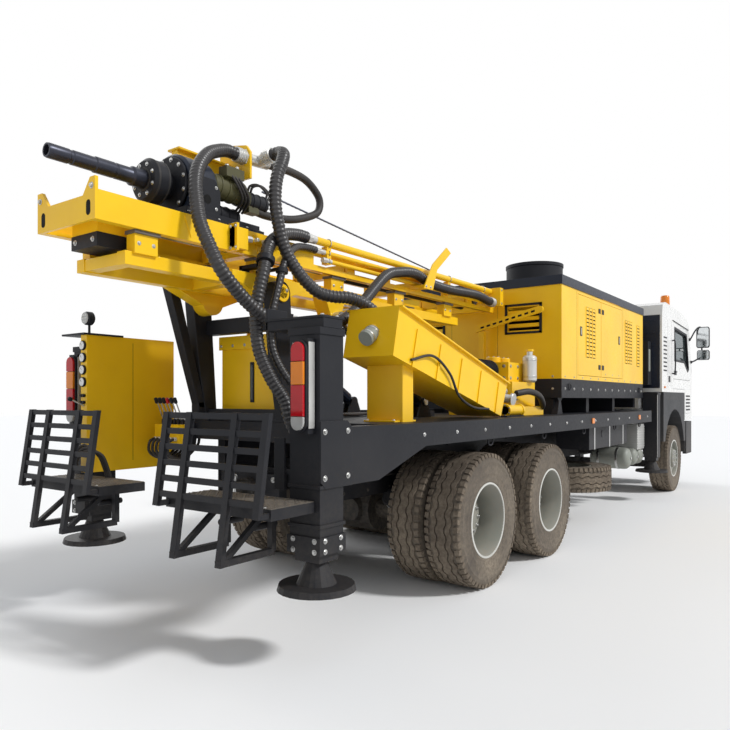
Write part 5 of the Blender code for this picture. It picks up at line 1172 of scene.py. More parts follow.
def pump_group():
    z = Zone("pump", "machine")
    floor = DECK_TOP + SEAT
    block(z(YELLOW), (1.20, 1.90), (-0.95, -0.20), (floor, floor + 0.09))
    block(z(YELLOW), (1.26, 1.84), (-0.88, -0.26), (floor + 0.09, 1.70))
    for y in (-0.70, -0.50, -0.30):
        block(z(YELLOW), (1.24, 1.86), (y - 0.012, y + 0.012), (floor + 0.08, 1.72))
    block(z(YELLOW), (1.35, 1.80), (-0.80, -0.35), (1.695, 1.90))
    bolts(z(STEEL), [(1.35, y, h) for y in (-0.75, -0.58, -0.40) for h in (1.74, 1.86)], (-1, 0, 0), 0.012,
          0.010)
    bolts(z(STEEL), [(x, -0.80, h) for x in (1.40, 1.575, 1.75) for h in (1.74, 1.86)], (0, -1, 0), 0.012,
          0.010)
    for x in (1.46, 1.70):
        axial(z(YELLOW), x, -0.58, (1.90, 1.96), 0.075, 0.006, 36)
        bolt_ring(z(STEEL), (x, -0.58, 1.96), (0, 0, 1), 0.058, 6, 0.008, 0.007)
    # Canister with its bands, neck and fitting
    axial(z(ALLOY), 1.70, -0.88, (1.70, 1.98), 0.072, 0.020, 40)
    for height in (1.75, 1.92):
        axial(z(STEEL), 1.70, -0.88, (height, height + 0.018), 0.075, 0.001, 40)
    axial(z(ALLOY), 1.70, -0.88, (1.97, 2.03), 0.030, 0.004, 24)
    axial(z(YELLOW), 1.70, -0.88, (2.02, 2.045), 0.042, 0.004, 6)
    # Motor and its round gear case
    axial(z(BLACK), (1.35, 1.02), -0.60, 1.82, 0.098, 0.012, 44)
    for x in row(1.08, 1.30, 9):
        axial(z(BLACK), (x - 0.005, x + 0.005), -0.60, 1.82, 0.105, 0.001, 44)
    axial(z(BLACK), (1.03, 0.955), -0.60, 1.82, 0.075, 0.010, 36)
    bolt_ring(z(STEEL), (0.955, -0.60, 1.82), (-1, 0, 0), 0.058, 6, 0.007, 0.006)
    block(z(YELLOW), (1.00, 1.36), (-0.69, -0.51), (floor, 1.725))
    # Elbow, suction hose and valve
    pipe(z(ALLOY), [(1.24, -0.80, 1.60), (1.10, -0.80, 1.60), (1.02, -0.83, 1.58), (1.00, -0.90, 1.54),
         (1.00, -1.00, 1.52)], 0.042, sides=24)
    drum(z(STEEL), (1.00, -0.985, 1.522), (1.00, -1.01, 1.518), 0.062, 0.003, 36)
    pipe(z(PLAIN_HOSE), [(1.24, -0.93, 1.58), (1.40, -1.00, 1.60), (1.60, -1.02, 1.56), (1.80, -0.98, 1.48),
         (1.88, -0.94, 1.44)], 0.032, sides=20)
    axial(z(YELLOW), (0.82, 1.16), -1.00, 1.42, 0.050, 0.008, 32)
    for x in (0.82, 1.13):
        axial(z(YELLOW), (x, x + 0.03), -1.00, 1.42, 0.0597, 0.004, 32)
        bolt_ring(z(STEEL), (x + (0.03 if x > 1 else 0.0), -1.00, 1.42), (1 if x > 1 else -1, 0, 0), 0.048,
                  6, 0.006, 0.006)
    axial(z(STEEL), 0.99, -1.00, (1.46, 1.52), 0.010, 0.001, 14)
    block(z(BLACK), (0.985, 1.10), (-1.008, -0.992), (1.515, 1.525))
    block(z(BLACK), (0.80, 1.20), (-1.03, -0.97), (floor, 1.372))
    # Perforated arm on its post
    post = [(2.00, floor), (2.10, floor), (2.07, 1.60), (2.07, 2.30), (2.01, 2.30), (2.01, 1.60)]
    sheet(z(YELLOW), post, (-0.20, -0.13))
    arm = [(-0.11, 2.29), (-0.11, 2.37), (-0.86, 2.535)] + arc((-0.87, 2.50), 0.035, 100, 260,
                                                               9) + [(-0.86, 2.46)]
    sheet(z(YELLOW), arm, (2.00, 2.03), "X")
    # Painted shade: the perforations are not cut; dark sheets through the arm stand for the shade inside
    # them.
    for share in row(0.08, 0.92, 9):
        y = -0.13 - 0.72 * share
        height = 2.332 + 0.165 * share
        slot = [
            (y - 0.022, height - 0.010), (y + 0.022, height - 0.020), (y + 0.022, height + 0.004),
            (y - 0.022, height + 0.014),
        ]
        sheet(z(SHADE_AND_BLACK), slot, (1.9992, 2.0308), "X")
    # Flared feet between the deck and the compressor's base
    for y in (-1.00, 0.93):
        sheet(z(BLACK), [(2.18, floor), (2.34, floor), (2.29, 1.50), (2.34, 1.5397), (2.18, 1.5397),
              (2.23, 1.50)], (y, y + 0.07))
    z.close(("pump_unit",), soft=0.002)


# Compressor housing

def louvres(z, side, span, low, high, count):
    """A framed field of slanted slats over a ground of painted shade; span runs along the wall."""
    face = side * HOUSE_Y
    out = side * 0.006
    # Painted shade: a near-black ground behind the slats, where the open louvre would lie in shade.
    block(z(SHADE_AND_BLACK), span, sided(side, (HOUSE_Y + 0.0004, HOUSE_Y + 0.0015)), (low, high))
    pitch = (high - low) / count
    for i in range(count):
        base = low + pitch * i
        points = [
            (face + side * 0.001, base + pitch * 0.98), (face + side * 0.001, base + pitch * 0.80),
            (face + out, base + pitch * 0.18), (face + out, base + pitch * 0.30),
        ]
        sheet(z(YELLOW), points, span, "X")
    for x in span:
        block(z(YELLOW), (x - 0.004, x + 0.004), sided(side, (HOUSE_Y + 0.0004, HOUSE_Y + 0.006)),
              (low, high))


def door_fittings(z, side, handle_x, hinge_x):
    block(z(BLACK), (handle_x - 0.035, handle_x + 0.035), sided(side, (HOUSE_Y + 0.0004, HOUSE_Y + 0.003)),
          (2.26, 2.37))
    block(z(STEEL), (handle_x - 0.012, handle_x + 0.012), sided(side, (HOUSE_Y + 0.003, HOUSE_Y + 0.0055)),
          (2.275, 2.355))
    for height in (1.92, 2.62):
        block(z(BLACK), (hinge_x - 0.04, hinge_x + 0.04), sided(side, (HOUSE_Y + 0.0004, HOUSE_Y + 0.004)),
              (height - 0.03, height + 0.03))


def house_doors():
    for letter, side in SIDES:
        z = Zone(f"house_door_1_{letter}", f"house_door_1_{letter}")
        for start in (2.99, 3.11, 3.23):
            louvres(z, side, (start, start + 0.10), 2.02, 2.62, 13)
        door_fittings(z, side, 2.81, 3.50)
        z.close(soft=0.001)
        z = Zone(f"house_door_2_{letter}", f"house_door_2_{letter}")
        door_fittings(z, side, 4.36, 3.64)
        bolts(z(STEEL), [(x, side * HOUSE_Y, 1.84) for x in (3.75, 4.05, 4.35)], (0, side, 0), 0.007,
              0.0035)
        z.close(soft=0.001)


def housing_details():
    z = Zone("housing", "machine")
    for _, side in SIDES:
        for start in (4.65, 4.77, 4.89):
            louvres(z, side, (start, start + 0.10), 2.02, 2.62, 13)
        louvres(z, side, (5.26, 5.40), 2.00, 2.60, 13)
        face = side * HOUSE_Y
        for x in row(2.28, 5.50, 12):
            bolts(z(STEEL), [(x, face, 1.775)], (0, side, 0), 0.008, 0.006)
            bolts(z(STEEL), [(x, face, 1.64)], (0, side, 0), 0.011, 0.008)
        # Painted shade: thin dark lines stand for the shade in the door gaps.
        for x in (2.66, 4.54):
            block(z(SHADE_AND_BLACK), (x - 0.0015, x + 0.0015), sided(side, (HOUSE_Y, HOUSE_Y + 0.0006)), (1.76, 2.77))
        for x in (2.40, 5.36):
            ring = [(x + u, face + side * 0.012, 1.66 + v) for u, v in arc((0, 0), 0.035, 0, 360, 21)]
            sweep(z(BLACK), ring, 0.006, 8)
    # Framed openings in the rear wall
    for y0, y1 in ((0.42, 0.80), (-0.80, -0.42)):
        for edge in ((y0 - 0.03, y0), (y1, y1 + 0.03)):
            block(z(BLACK), (HOUSE_X[0] - 0.010, HOUSE_X[0] - 0.0004), edge, (2.26, 2.60))
        for low in (2.26, 2.575):
            block(z(BLACK), (HOUSE_X[0] - 0.010, HOUSE_X[0] - 0.0004), (y0 - 0.03, y1 + 0.03),
                  (low, low + 0.025))
    for y in row(-0.95, 0.95, 9):
        bolts(z(STEEL), [(HOUSE_X[0], y, 1.775), (HOUSE_X[0], y, 1.64)], (-1, 0, 0), 0.009, 0.007)
    # Painted shade: thin dark lines on the rear wall stand for the shade in its panel gaps.
    block(z(SHADE_AND_BLACK), (HOUSE_X[0] - 0.0008, HOUSE_X[0]), (-0.30, -0.297), (1.78, 2.76))
    block(z(SHADE_AND_BLACK), (HOUSE_X[0] - 0.0008, HOUSE_X[0]), (0.297, 0.30), (1.78, 2.76))
    z.close(soft=0.001)


def roof_details():
    z = Zone("roof", "machine")
    x0, x1 = HOUSE_X[0] - 0.0115, HOUSE_X[1] + 0.0115
    y = HOUSE_Y + 0.0115
    cut = 0.0005
    edge = [
        (-y, 2.779), (y, 2.779), (y, ROOF_TOP - cut), (y - cut, ROOF_TOP + 0.0015),
        (-y + cut, ROOF_TOP + 0.0015), (-y, ROOF_TOP - cut),
    ]
    inner = 0.372
    # The cover leaves the round vent free: two strips beside it and two pieces before and behind
    sheet(z(NAVY), edge, (x0, VENT_X - inner), "X")
    sheet(z(NAVY), edge, (VENT_X + inner, x1), "X")
    for _, side in SIDES:
        strip = [
            (side * inner, ROOF_TOP + SEAT), (side * inner, ROOF_TOP + 0.0015),
            (side * (y - cut), ROOF_TOP + 0.0015), (side * y, ROOF_TOP - cut), (side * y, 2.779),
            (side * (y - 0.0012), 2.779), (side * (y - 0.0012), ROOF_TOP + SEAT),
        ]
        sheet(z(NAVY), strip, (VENT_X - inner - 0.001, VENT_X + inner + 0.001), "X")
    for x in row(2.35, 5.42, 9):
        bolts(z(STEEL), [(x, side * 0.98, ROOF_TOP + 0.0015) for side in (1, -1)], (0, 0, 1), 0.010, 0.008)
    # Vent: dark collar, top ring and guard bars
    profile = [
        (0.3803, 0.0), (0.392, 0.0), (0.392, 0.03), (0.3825, 0.035), (0.3825, 0.45), (0.392, 0.46),
        (0.392, 0.50), (0.372, 0.50), (0.368, 0.46), (0.345, 0.2603), (0.345, 0.2503), (0.3803, 0.2503),
        (0.3803, 0.0),
    ]
    lathe(z(BLACK), profile, (VENT_X, 0, ROOF_TOP), (0, 0, 1), 64)
    for radius in (0.10, 0.18, 0.26, 0.34):
        ring = [(VENT_X + radius * math.cos(a), radius * math.sin(a), ROOF_TOP + 0.47)
                for a in (2 * math.pi * i / 40 for i in range(41))]
        sweep(z(BLACK), ring, 0.004, 8)
    for i in range(4):
        a = math.pi * i / 4
        reach = Vector((math.cos(a), math.sin(a), 0)) * 0.370
        middle = Vector((VENT_X, 0, ROOF_TOP + 0.47))
        bar(z(BLACK), middle - reach, middle + reach, 0.005, sides=8)
    # Silencer outlet on the roof
    axial(z(CAST), 5.15, 0.55, (ROOF_TOP + 0.0015, ROOF_TOP + 0.16), 0.045, 0.003, 28)
    z.close(soft=0.001)


# Deck and chassis

def deck_details():
    z = Zone("deck", "machine")
    for _, side in SIDES:
        for x in row(-1.00, 5.10, 14):
            bolts(z(STEEL), [(x, side * DECK_HALF_W, 1.28)], (0, side, 0), 0.010, 0.008)
        for x in (0.75, 2.10, 3.90):
            sheet(z(BLACK), [(x - 0.09, 1.2003), (x + 0.09, 1.2003), (x + 0.03, 1.08), (x - 0.03, 1.08)],
                  sided(side, (0.44, 0.456)))
            bolts(z(STEEL), [(x, side * 0.456, 1.12)], (0, side, 0), 0.012, 0.010)
        # Rope hooks under the beam
        for x in row(0.10, 4.80, 5):
            pipe(z(BLACK), [(x - 0.04, side * 1.20, 1.205), (x - 0.04, side * 1.20, 1.16),
                 (x, side * 1.20, 1.145), (x + 0.04, side * 1.20, 1.16), (x + 0.04, side * 1.20, 1.205)],
                 0.007, sides=10)
        block(z(AMBER), (2.62, 2.70), sided(side, (DECK_HALF_W + SEAT, 1.245)), (1.25, 1.31))
        block(z(AMBER), (4.62, 4.70), sided(side, (DECK_HALF_W + SEAT, 1.245)), (1.25, 1.31))
        # Front jack posts: caps, and a pale strip down each post's rear edge, a painted highlight where
        # light falls on the flange
        block(z(BLACK), (5.672, 5.878), sided(side, (1.022, 1.243)), (1.595, 1.626))
        block(z(ALLOY), (5.676, 5.682), sided(side, (DECK_HALF_W + SEAT, 1.241)), (0.66, 1.59))
    for x, y in ((0.40, -0.20), (0.75, 0.55), (1.95, 0.55)):
        block(z(BLACK), (x, x + 0.30), (y - 0.12, y + 0.12), (DECK_TOP + SEAT, DECK_TOP + 0.05))
    # Hoses along the deck, from the pump to the centre tank
    for i in range(4):
        pipe(z(PLAIN_HOSE), [(1.20, 0.10 + 0.05 * i, 1.42), (0.80, 0.12 + 0.05 * i, 1.385),
             (0.20, 0.08 + 0.05 * i, 1.385), (-0.60, 0.06 + 0.05 * i, 1.385),
             (-0.98, 0.05 + 0.05 * i, 1.42)], 0.014)
    z.close(soft=0.002)


def air_tanks():
    """Air reservoirs with domed ends, ribbed battery box and black tank, on their carrier."""
    z = Zone("air_tanks", "machine")
    block(z(BLACK), (4.60, 5.60), (-0.60, -0.4353), (0.76, 0.84))
    for x, radius in ((4.75, 0.15), (5.10, 0.12), (5.38, 0.12)):
        profile = [
            (0, 0), (radius * 0.55, 0.008), (radius * 0.85, 0.028), (radius * 0.97, 0.055), (radius, 0.08),
            (radius, 0.47), (radius * 0.97, 0.495), (radius * 0.85, 0.522), (radius * 0.55, 0.542),
            (0, 0.55),
        ]
        lathe(z(TANK), profile, (x, -1.10, 0.70), (0, 1, 0), 44)
        axial(z(STEEL), x, (-1.112, -1.098), 0.70, 0.020, 0.002, 6)
        for y in (-0.95, -0.70):
            axial(z(STEEL), x, (y, y + 0.03), 0.70, radius + 0.003, 0.001, 44)
    block(z(ALLOY), (5.12, 5.50), (-1.092, -0.70), (0.80, 1.16))
    for height in row(0.84, 1.12, 9):
        block(z(ALLOY), (5.118, 5.502), (-1.10, -0.71), (height - 0.008, height + 0.008))
    block(z(BLACK), (2.90, 4.50), (-1.115, -0.72), (0.93, 1.19))
    for x in (3.10, 3.70, 4.30):
        block(z(STEEL), (x - 0.02, x + 0.02), (-1.118, -0.71), (0.927, 1.193))
    axial(z(BLACK), 3.40, (-1.10, -1.12), 1.10, 0.045, 0.004, 28)
    block(z(BLACK), (4.40, 5.20), (-0.80, -0.72), (0.94, 1.00))
    z.close(("air_tanks",), soft=0.002)


def chassis_details():
    z = Zone("chassis", "machine")
    for _, side in SIDES:
        face = side * (RAIL_Y + SEAT)
        for x in row(-1.20, 8.00, 30):
            bolts(z(CAST), [(x, face, 0.98), (x, face, 0.79)], (0, side, 0), 0.011, 0.008)
    # Fuel tank straps and cap on the left
    for x in (3.15, 3.60, 4.05):
        block(z(STEEL), (x - 0.02, x + 0.02), (0.505, 1.1225), (1.1003, 1.103))
        block(z(STEEL), (x - 0.02, x + 0.02), (1.1203, 1.1225), (0.56, 1.103))
    axial(z(BLACK), 3.80, 0.95, (1.1003, 1.13), 0.05, 0.004, 32)
    # Brake lines and air hoses along the right rail
    for i in range(3):
        y = -0.475 - 0.02 * i
        pipe(z(PLAIN_HOSE), [(-1.10, y, 0.90), (0.0, y, 0.905), (1.4, y, 0.90), (2.6, y, 0.89),
             (4.4, y, 0.90)], 0.009, step=0.1, sides=10)
    # Towing jaw and rear cross member
    block(z(BLACK), (-1.46, -1.3803), (-0.30, 0.30), (0.72, 0.98))
    axial(z(CAST), (-1.455, -1.52), 0, 0.86, 0.085, 0.008, 36)
    block(z(CAST), (-1.66, -1.50), (-0.055, 0.055), (0.895, 0.93))
    block(z(CAST), (-1.66, -1.50), (-0.055, 0.055), (0.79, 0.825))
    axial(z(STEEL), -1.61, 0, (0.77, 0.97), 0.016, 0.002, 20)
    bolts(z(STEEL), [(-1.46, y, h) for y in (-0.24, -0.15, 0.15, 0.24) for h in (0.76, 0.94)], (-1, 0, 0),
          0.014, 0.010)
    # Brackets over the rear wheels
    for _, side in SIDES:
        block(z(BLACK), (-0.86, -0.80), sided(side, (0.46, 0.52)), (0.98, 1.05))
    z.close(soft=0.001)


def axle_details():
    z = Zone("axles", "machine")
    for x in REAR_AXLE_X:
        for _, side in SIDES:
            for way in (-1, 1):
                drum(z(BLACK), (x + way * 0.16, side * 0.46, AXLE_Z + 0.10),
                     (x + way * 0.30, side * 0.46, AXLE_Z + 0.16), 0.075, 0.012, 32)
                drum(z(STEEL), (x + way * 0.222, side * 0.46, AXLE_Z + 0.127),
                     (x + way * 0.236, side * 0.46, AXLE_Z + 0.133), 0.081, 0.002, 32)
    z.close(soft=0.001)


# Cab

def cab_details():
    z = Zone("cab", "machine")
    y = CAB_Y
    # Dark rear wall with its ribs
    block(z(NAVY), (6.1415, 6.1496), (-1.17, 1.17), (1.70, 2.84))
    for h in row(1.78, 2.76, 6):
        block(z(NAVY), (6.136, 6.142), (-1.10, 1.10), (h - 0.012, h + 0.012))
    for _, side in SIDES:
        # Panel gaps (thin dark lines of painted shade), grip, filler square, side marker and vent slots
        for x in (6.55, 6.80):
            block(z(SHADE_AND_BLACK), (x - 0.002, x + 0.002), sided(side, (y, y + 0.0006)), (1.70, 2.80))
        block(z(PLASTIC), (6.60, 6.72), sided(side, (y + SEAT, y + 0.004)), (1.80, 1.90))
        block(z(AMBER), (6.30, 6.38), sided(side, (y + SEAT, y + 0.012)), (1.70, 1.73))
        for h in row(1.98, 2.50, 9):
            block(z(BLACK), (6.26, 6.48), sided(side, (y + SEAT, y + 0.004)), (h - 0.012, h + 0.012))
        pipe(z(BLACK), [(6.86, side * (y + 0.002), 1.95), (6.86, side * (y + 0.045), 1.98),
             (6.86, side * (y + 0.045), 2.45), (6.86, side * (y + 0.002), 2.48)], 0.011, sides=12)
        # Gutter over the door
        sheet(z(BLACK), [(6.88, 2.815), (8.15, 2.755), (8.15, 2.765), (6.88, 2.825)],
              sided(side, (y + SEAT, y + 0.010)))
        # Steps below the door
        for h, reach in ((0.66, 0.0), (0.95, 0.03)):
            block(z(PLASTIC), (7.96, 8.34), sided(side, (1.02 - reach, 1.185)), (h, h + 0.03))
            block(z(STEEL), (7.98, 8.32), sided(side, (1.03 - reach, 1.175)), (h + 0.03, h + 0.034))
        block(z(PLASTIC), (7.955, 7.985), sided(side, (1.02, 1.18)), (0.60, 1.12))
    block(z(WHITE), (6.30, 8.02), (-0.80, -0.76), (3.02, 3.035))
    z.close(soft=0.002)


DOOR_GLASS = [(7.04, 2.17), (7.80, 2.17), (8.10, 2.02), (8.20, 2.06), (8.00, 2.66), (7.04, 2.71)]


def grown(outline, gap):
    """The outline moved outwards by a gap, corner by corner, for a shape with no sharp corners."""
    made = []
    for i, point in enumerate(outline):
        before, here, after = Vector(outline[i - 1]), Vector(point), Vector(outline[(i + 1) % len(outline)])
        n1 = Vector(((here - before).y, -(here - before).x)).normalized()
        n2 = Vector(((after - here).y, -(after - here).x)).normalized()
        way = (n1 + n2).normalized()
        made.append(tuple(here + way * (gap / max(0.35, way.dot(n1)))))
    return made


def frame_band(bm, inner, outer, span):
    """A closed frame between two like outlines in (X, Z), with its thickness along Y."""
    rings = [[bm.verts.new((u, w, v)) for u, v in line] for w in span for line in (inner, outer)]
    count = len(inner)
    for i in range(count):
        j = (i + 1) % count
        near_in, near_out, far_in, far_out = rings
        bm.faces.new((near_in[i], near_in[j], near_out[j], near_out[i]))
        bm.faces.new((far_in[i], far_out[i], far_out[j], far_in[j]))
        bm.faces.new((near_out[i], near_out[j], far_out[j], far_out[i]))
        bm.faces.new((near_in[i], far_in[i], far_in[j], near_in[j]))


def cab_doors():
    for letter, side in SIDES:
        z = Zone(f"cab_door_{letter}", f"cab_door_{letter}")
        sheet(z(GLASS), grown(DOOR_GLASS, -0.001), sided(side, (CAB_Y - 0.034, CAB_Y - 0.028)))
        frame_band(z(BLACK), grown(DOOR_GLASS, -0.022), grown(DOOR_GLASS, 0.016),
                   sided(side, (CAB_Y + SEAT, CAB_Y + 0.006)))
        frame_band(z(BLACK), grown(DOOR_GLASS, -0.022), grown(DOOR_GLASS, -0.0005),
                   sided(side, (CAB_Y - 0.036, CAB_Y + 0.0004)))
        block(z(PLASTIC), (7.02, 7.16), sided(side, (CAB_Y + SEAT, CAB_Y + 0.010)), (1.93, 2.00))
        block(z(BLACK), (7.035, 7.145), sided(side, (CAB_Y + 0.010, CAB_Y + 0.022)), (1.972, 1.992))
        # Painted shade: a thin dark line stands for the shade in the groove across the door.
        block(z(SHADE_AND_BLACK), (6.96, 8.30), sided(side, (CAB_Y + 0.0002, CAB_Y + 0.0012)), (1.858, 1.864))
        for h in row(1.34, 1.58, 5):
            block(z(BLACK), (7.96, 8.30), sided(side, (CAB_Y + SEAT, CAB_Y + 0.004)),
                  (h - 0.014, h + 0.014))
        z.close(soft=0.001)


def seat_cushion(x, y, z_span):
    """A crowned cushion whose sides pull in between its corners, with sewn channels."""
    bm = bmesh.new()
    nx, ny = 18, 18
    (xa, xb), (ya, yb), (za, zb) = x, y, z_span
    rows = []
    for share, shrink in ((0.0, 0.03), (0.35, 0.0), (0.75, 0.0), (1.0, 0.035)):
        ring = []
        for i in range(4 * nx):
            edge, step = divmod(i, nx)
            t = step / nx
            u, v = ((t, 0), (1, t), (1 - t, 1), (0, 1 - t))[edge]
            pull = 0.03 * math.sin(math.pi * t) * (1 - abs(share - 0.5))
            cu, cv = u - 0.5, v - 0.5
            scale = 1 - shrink * 2 - pull
            corner = 1 - 0.10 * (4 * cu * cu * 4 * cv * cv)
            ring.append(bm.verts.new((xa + (xb - xa) * (0.5 + cu * scale * corner),
                        ya + (yb - ya) * (0.5 + cv * scale * corner), za + (zb - za) * share)))
        rows.append(ring)
    count = 4 * nx
    for low, high in zip(rows, rows[1:]):
        for i in range(count):
            j = (i + 1) % count
            bm.faces.new((low[i], low[j], high[j], high[i]))
    bm.faces.new(rows[0][::-1])
    inner = rows[-1]
    for ring_index in range(1, ny // 2 + 1):
        shrink = 1 - ring_index / (ny / 2 + 1)
        ring = []
        for vert in rows[-1]:
            cx, cy = (xa + xb) / 2, (ya + yb) / 2
            dx, dy = vert.co.x - cx, vert.co.y - cy
            crown = (1 - shrink ** 2) * 0.028
            channel = 0.006 * max(0.0, math.cos(2 * math.pi * (cy + dy * shrink - ya) / (yb - ya) * 4)) ** 6
            ring.append(bm.verts.new((cx + dx * shrink, cy + dy * shrink, vert.co.z + crown - channel)))
        for i in range(count):
            j = (i + 1) % count
            bm.faces.new((inner[i], inner[j], ring[j], ring[i]))
        inner = ring
    bm.faces.new(inner)
    return bm


def cab_inside():
    """Seat pads and backs, and the dash front with three round fittings."""
    for letter, side in SIDES:
        y = sided(side, (0.29, 0.75))
        pad = placed(f"seat_pad_{letter}", seat_cushion((7.00, 7.49), y, (1.951, 2.03)), CLOTH, "machine",
                smooth=60)
        back = seat_cushion((0.0, 0.60), y, (0.0, 0.075))
        bmesh.ops.transform(back, matrix=Matrix.Translation((7.082, 0,
                                                             1.97)) @ Matrix.Rotation(math.radians(-90), 4,
                                                                                      "Y") @
                            Matrix.Scale(-1, 4, (0, 0, 1)), verts=back.verts)
        made = placed(f"seat_back_{letter}", back, CLOTH, "machine", smooth=60)
    z = Zone("dash", "machine")
    block(z(BLACK), (7.97, 7.9997), (0.30, 0.74), (1.90, 2.08))
    for y in (0.42, 0.52, 0.62):
        axial(z(PLASTIC), (7.97, 7.962), y, 2.0, 0.035, 0.002, 28)
    z.close(soft=0.001)


def cab_front():
    z = Zone("front", "machine")
    # Grille slats, headlamps, fog lamps and blank plate
    for h in row(1.18, 1.78, 9):
        block(z(BLACK), (8.5403, 8.552), (-0.80, 0.80), (h - 0.020, h + 0.020))
    for _, side in SIDES:
        sheet(z(BLACK), [(side * y, h) for y,
              h in ((0.60, 0.78), (0.98, 0.78), (0.98, 0.98), (0.64, 0.98))], (8.599, 8.6095), "X")
        block(z(CLEAR), (8.602, 8.6099), sided(side, (0.64, 0.78)), (0.81, 0.95))
        block(z(CLEAR), (8.602, 8.6099), sided(side, (0.80, 0.94)), (0.81, 0.95))
        # Wipers on the windscreen
        bar(z(BLACK), (8.506, side * 0.15, 1.99), (8.345, side * 0.55, 2.50), 0.006, sides=8)
    block(z(WHITE), (8.6002, 8.6098), (-0.26, 0.26), (0.64, 0.76))
    z.close(soft=0.0)


def mirrors():
    for letter, side in SIDES:
        z = Zone(f"mirror_{letter}", "machine")
        y0 = CAB_Y + 0.018
        sweep(z(BLACK), smooth_route([(8.37, side * y0, 2.20), (8.44, side * 1.28, 2.24),
              (8.52, side * 1.355, 2.32), (8.52, side * 1.355, 2.58), (8.52, side * 1.35, 2.82),
              (8.42, side * 1.29, 2.80), (8.24, side * y0, 2.60)], 0.02), 0.013, 12)
        for x, h in ((8.37, 2.20), (8.24, 2.60)):
            block(z(BLACK), (x - 0.025, x + 0.025), sided(side, (CAB_Y + SEAT, y0 + 0.004)),
                  (h - 0.025, h + 0.025))
        for (ya, yb), (za, zb) in (((1.272, 1.488), (2.46, 2.84)), ((1.282, 1.488), (2.24, 2.42))):
            outline = [
                (ya, za + 0.03), (ya + 0.02, za), (yb - 0.02, za), (yb, za + 0.03), (yb, zb - 0.03),
                (yb - 0.02, zb), (ya + 0.02, zb), (ya, zb - 0.03),
            ]
            sheet(z(BLACK), [(side * u, v) for u, v in outline], (8.494, 8.552), "X")
            sheet(z(MIRROR), [(side * ((u - (ya + yb) / 2) * 0.90 + (ya + yb) / 2),
                  (v - (za + zb) / 2) * 0.93 + (za + zb) / 2) for u, v in outline], (8.4915, 8.4945), "X")
        z.close((f"mirror_{letter}",), soft=0.004)


def beacon():
    z = Zone("beacon", "machine")
    x, y, low = 7.75, -0.90, 3.0003
    axial(z(BLACK), x, y, (low, low + 0.10), 0.075, 0.006, 36)
    profile = [
        (0, 0.098), (0.078, 0.098), (0.080, 0.102), (0.074, 0.335), (0.062, 0.355), (0.045, 0.359),
        (0, 0.3595),
    ]
    lathe(z(AMBER), profile, (x, y, low), (0, 0, 1), 24)
    for h in row(0.13, 0.32, 8):
        lathe(z(AMBER), [(0.073, h - 0.004), (0.0815 - 0.030 * (h - 0.10), h), (0.073, h + 0.004)],
              (x, y, low), (0, 0, 1), 24)
    z.close(("beacon",))


def behind_cab():
    """Intake tower, its cap, silencer and pipes behind the cab."""
    z = Zone("intake", "machine")
    block(z(BLACK), (5.92, 6.1490), (-1.05, -0.55), (1.75, 2.42))
    axial(z(BLACK), 6.03, -0.80, (2.40, 2.62), 0.105, 0.010, 40)
    axial(z(BLACK), 6.03, -0.80, (2.61, 2.75), 0.1095, 0.035, 40)
    for h in row(2.635, 2.70, 4):
        axial(z(CAST), 6.03, -0.80, (h, h + 0.006), 0.111, 0.001, 40)
    axial(z(TANK), 5.99, -1.02, (1.95, 2.30), 0.045, 0.010, 32)
    block(z(BLACK), (5.96, 6.02), (-1.00, -0.95), (2.0, 2.25))
    block(z(BLACK), (5.98, 6.1490), (-0.60, 0.60), (1.80, 1.95))
    axial(z(CAST), 6.02, 0.80, (1.75, 2.45), 0.115, 0.020, 40)
    axial(z(CAST), 6.02, 0.80, (2.44, 2.60), 0.045, 0.003, 28)
    for h in (1.90, 2.30):
        axial(z(STEEL), 6.02, 0.80, (h, h + 0.02), 0.118, 0.001, 40)
    block(z(BLACK), (6.10, 6.1490), (0.62, 0.98), (1.85, 1.95))
    for side in (-1, 1):
        block(z(BLACK), (5.96, 6.1490), sided(side, (0.70, 0.76)), (1.70, 1.80))
    z.close(("air_intake",), soft=0.003)


# Stage

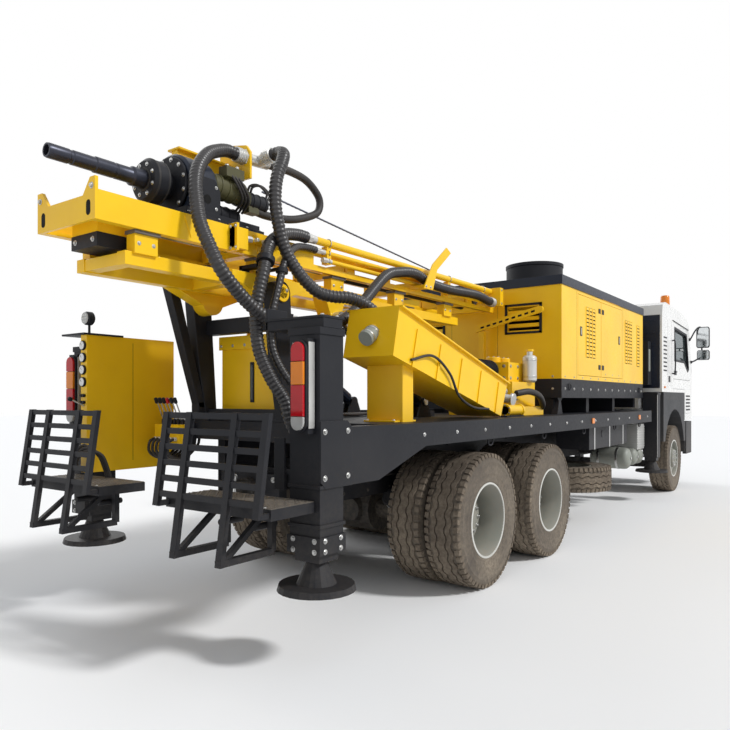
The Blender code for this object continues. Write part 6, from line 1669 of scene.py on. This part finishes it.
def stage():
    """Pale floor and soft light; the camera sees white all round."""
    scene = bpy.context.scene
    mesh = bpy.data.meshes.new("floor")
    bm = bmesh.new()
    bmesh.ops.create_grid(bm, x_segments=1, y_segments=1, size=60.0)
    bm.to_mesh(mesh)
    bm.free()
    floor = bpy.data.objects.new("floor", mesh)
    floor.location = (0, 0, -0.001)
    scene.collection.objects.link(floor)
    made = bpy.data.materials.new("pale_floor")
    made.use_nodes = True
    made.node_tree.nodes["Principled BSDF"].inputs["Base Color"].default_value = (0.92, 0.92, 0.92, 1.0)
    made.node_tree.nodes["Principled BSDF"].inputs["Roughness"].default_value = 0.9
    made.node_tree.nodes["Principled BSDF"].inputs["Specular IOR Level"].default_value = 0.1
    mesh.materials.append(made)

    world = bpy.data.worlds.new("studio")
    scene.world = world
    world.use_nodes = True
    tree = world.node_tree
    sky = tree.nodes["Background"]
    sky.inputs["Color"].default_value = (0.93, 0.96, 1.0, 1.0)
    sky.inputs["Strength"].default_value = 0.44
    seen = tree.nodes.new("ShaderNodeBackground")
    seen.inputs["Color"].default_value = (1.0, 1.0, 1.0, 1.0)
    seen.inputs["Strength"].default_value = 1.0
    rays = tree.nodes.new("ShaderNodeLightPath")
    most = tree.nodes.new("ShaderNodeMath")
    most.operation = "MAXIMUM"
    link(tree, rays.outputs["Is Camera Ray"], most.inputs[0])
    link(tree, rays.outputs["Is Transmission Ray"], most.inputs[1])
    all_seen = tree.nodes.new("ShaderNodeMath")
    all_seen.operation = "MAXIMUM"
    link(tree, most.outputs[0], all_seen.inputs[0])
    link(tree, rays.outputs["Is Glossy Ray"], all_seen.inputs[1])
    blend = tree.nodes.new("ShaderNodeMixShader")
    link(tree, all_seen.outputs[0], blend.inputs[0])
    link(tree, sky.outputs[0], blend.inputs[1])
    link(tree, seen.outputs[0], blend.inputs[2])
    link(tree, blend.outputs[0], tree.nodes["World Output"].inputs["Surface"])

    # Lamps: direction they shine from, strength, spread in degrees
    for name, place, power, spread in (("key", (2.5, -9.0, 7.5), 2.35, 8.0),
            ("fill", (-9.0, -4.0, 5.0), 0.25, 40.0), ("left_fill", (2.0, 9.0, 6.0), 0.7, 40.0)):
        data = bpy.data.lights.new(name, "SUN")
        data.energy = power
        data.angle = math.radians(spread)
        lamp = bpy.data.objects.new(name, data)
        lamp.rotation_euler = Vector(place).to_track_quat("Z", "Y").to_euler()
        scene.collection.objects.link(lamp)
    scene.view_settings.view_transform = "Standard"


camera()
hoses()
dress_frame()
wheels()
rope()
rotary_head()
head_loop()
spindle()
mast_details()
cradle_details()
support_details()
rear_details()
platforms()
console()
centre_tank_details()
trough_details()
pump_group()
housing_details()
house_doors()
roof_details()
deck_details()
chassis_details()
air_tanks()
axle_details()
cab_details()
cab_doors()
cab_inside()
cab_front()
mirrors()
beacon()
behind_cab()
stage()
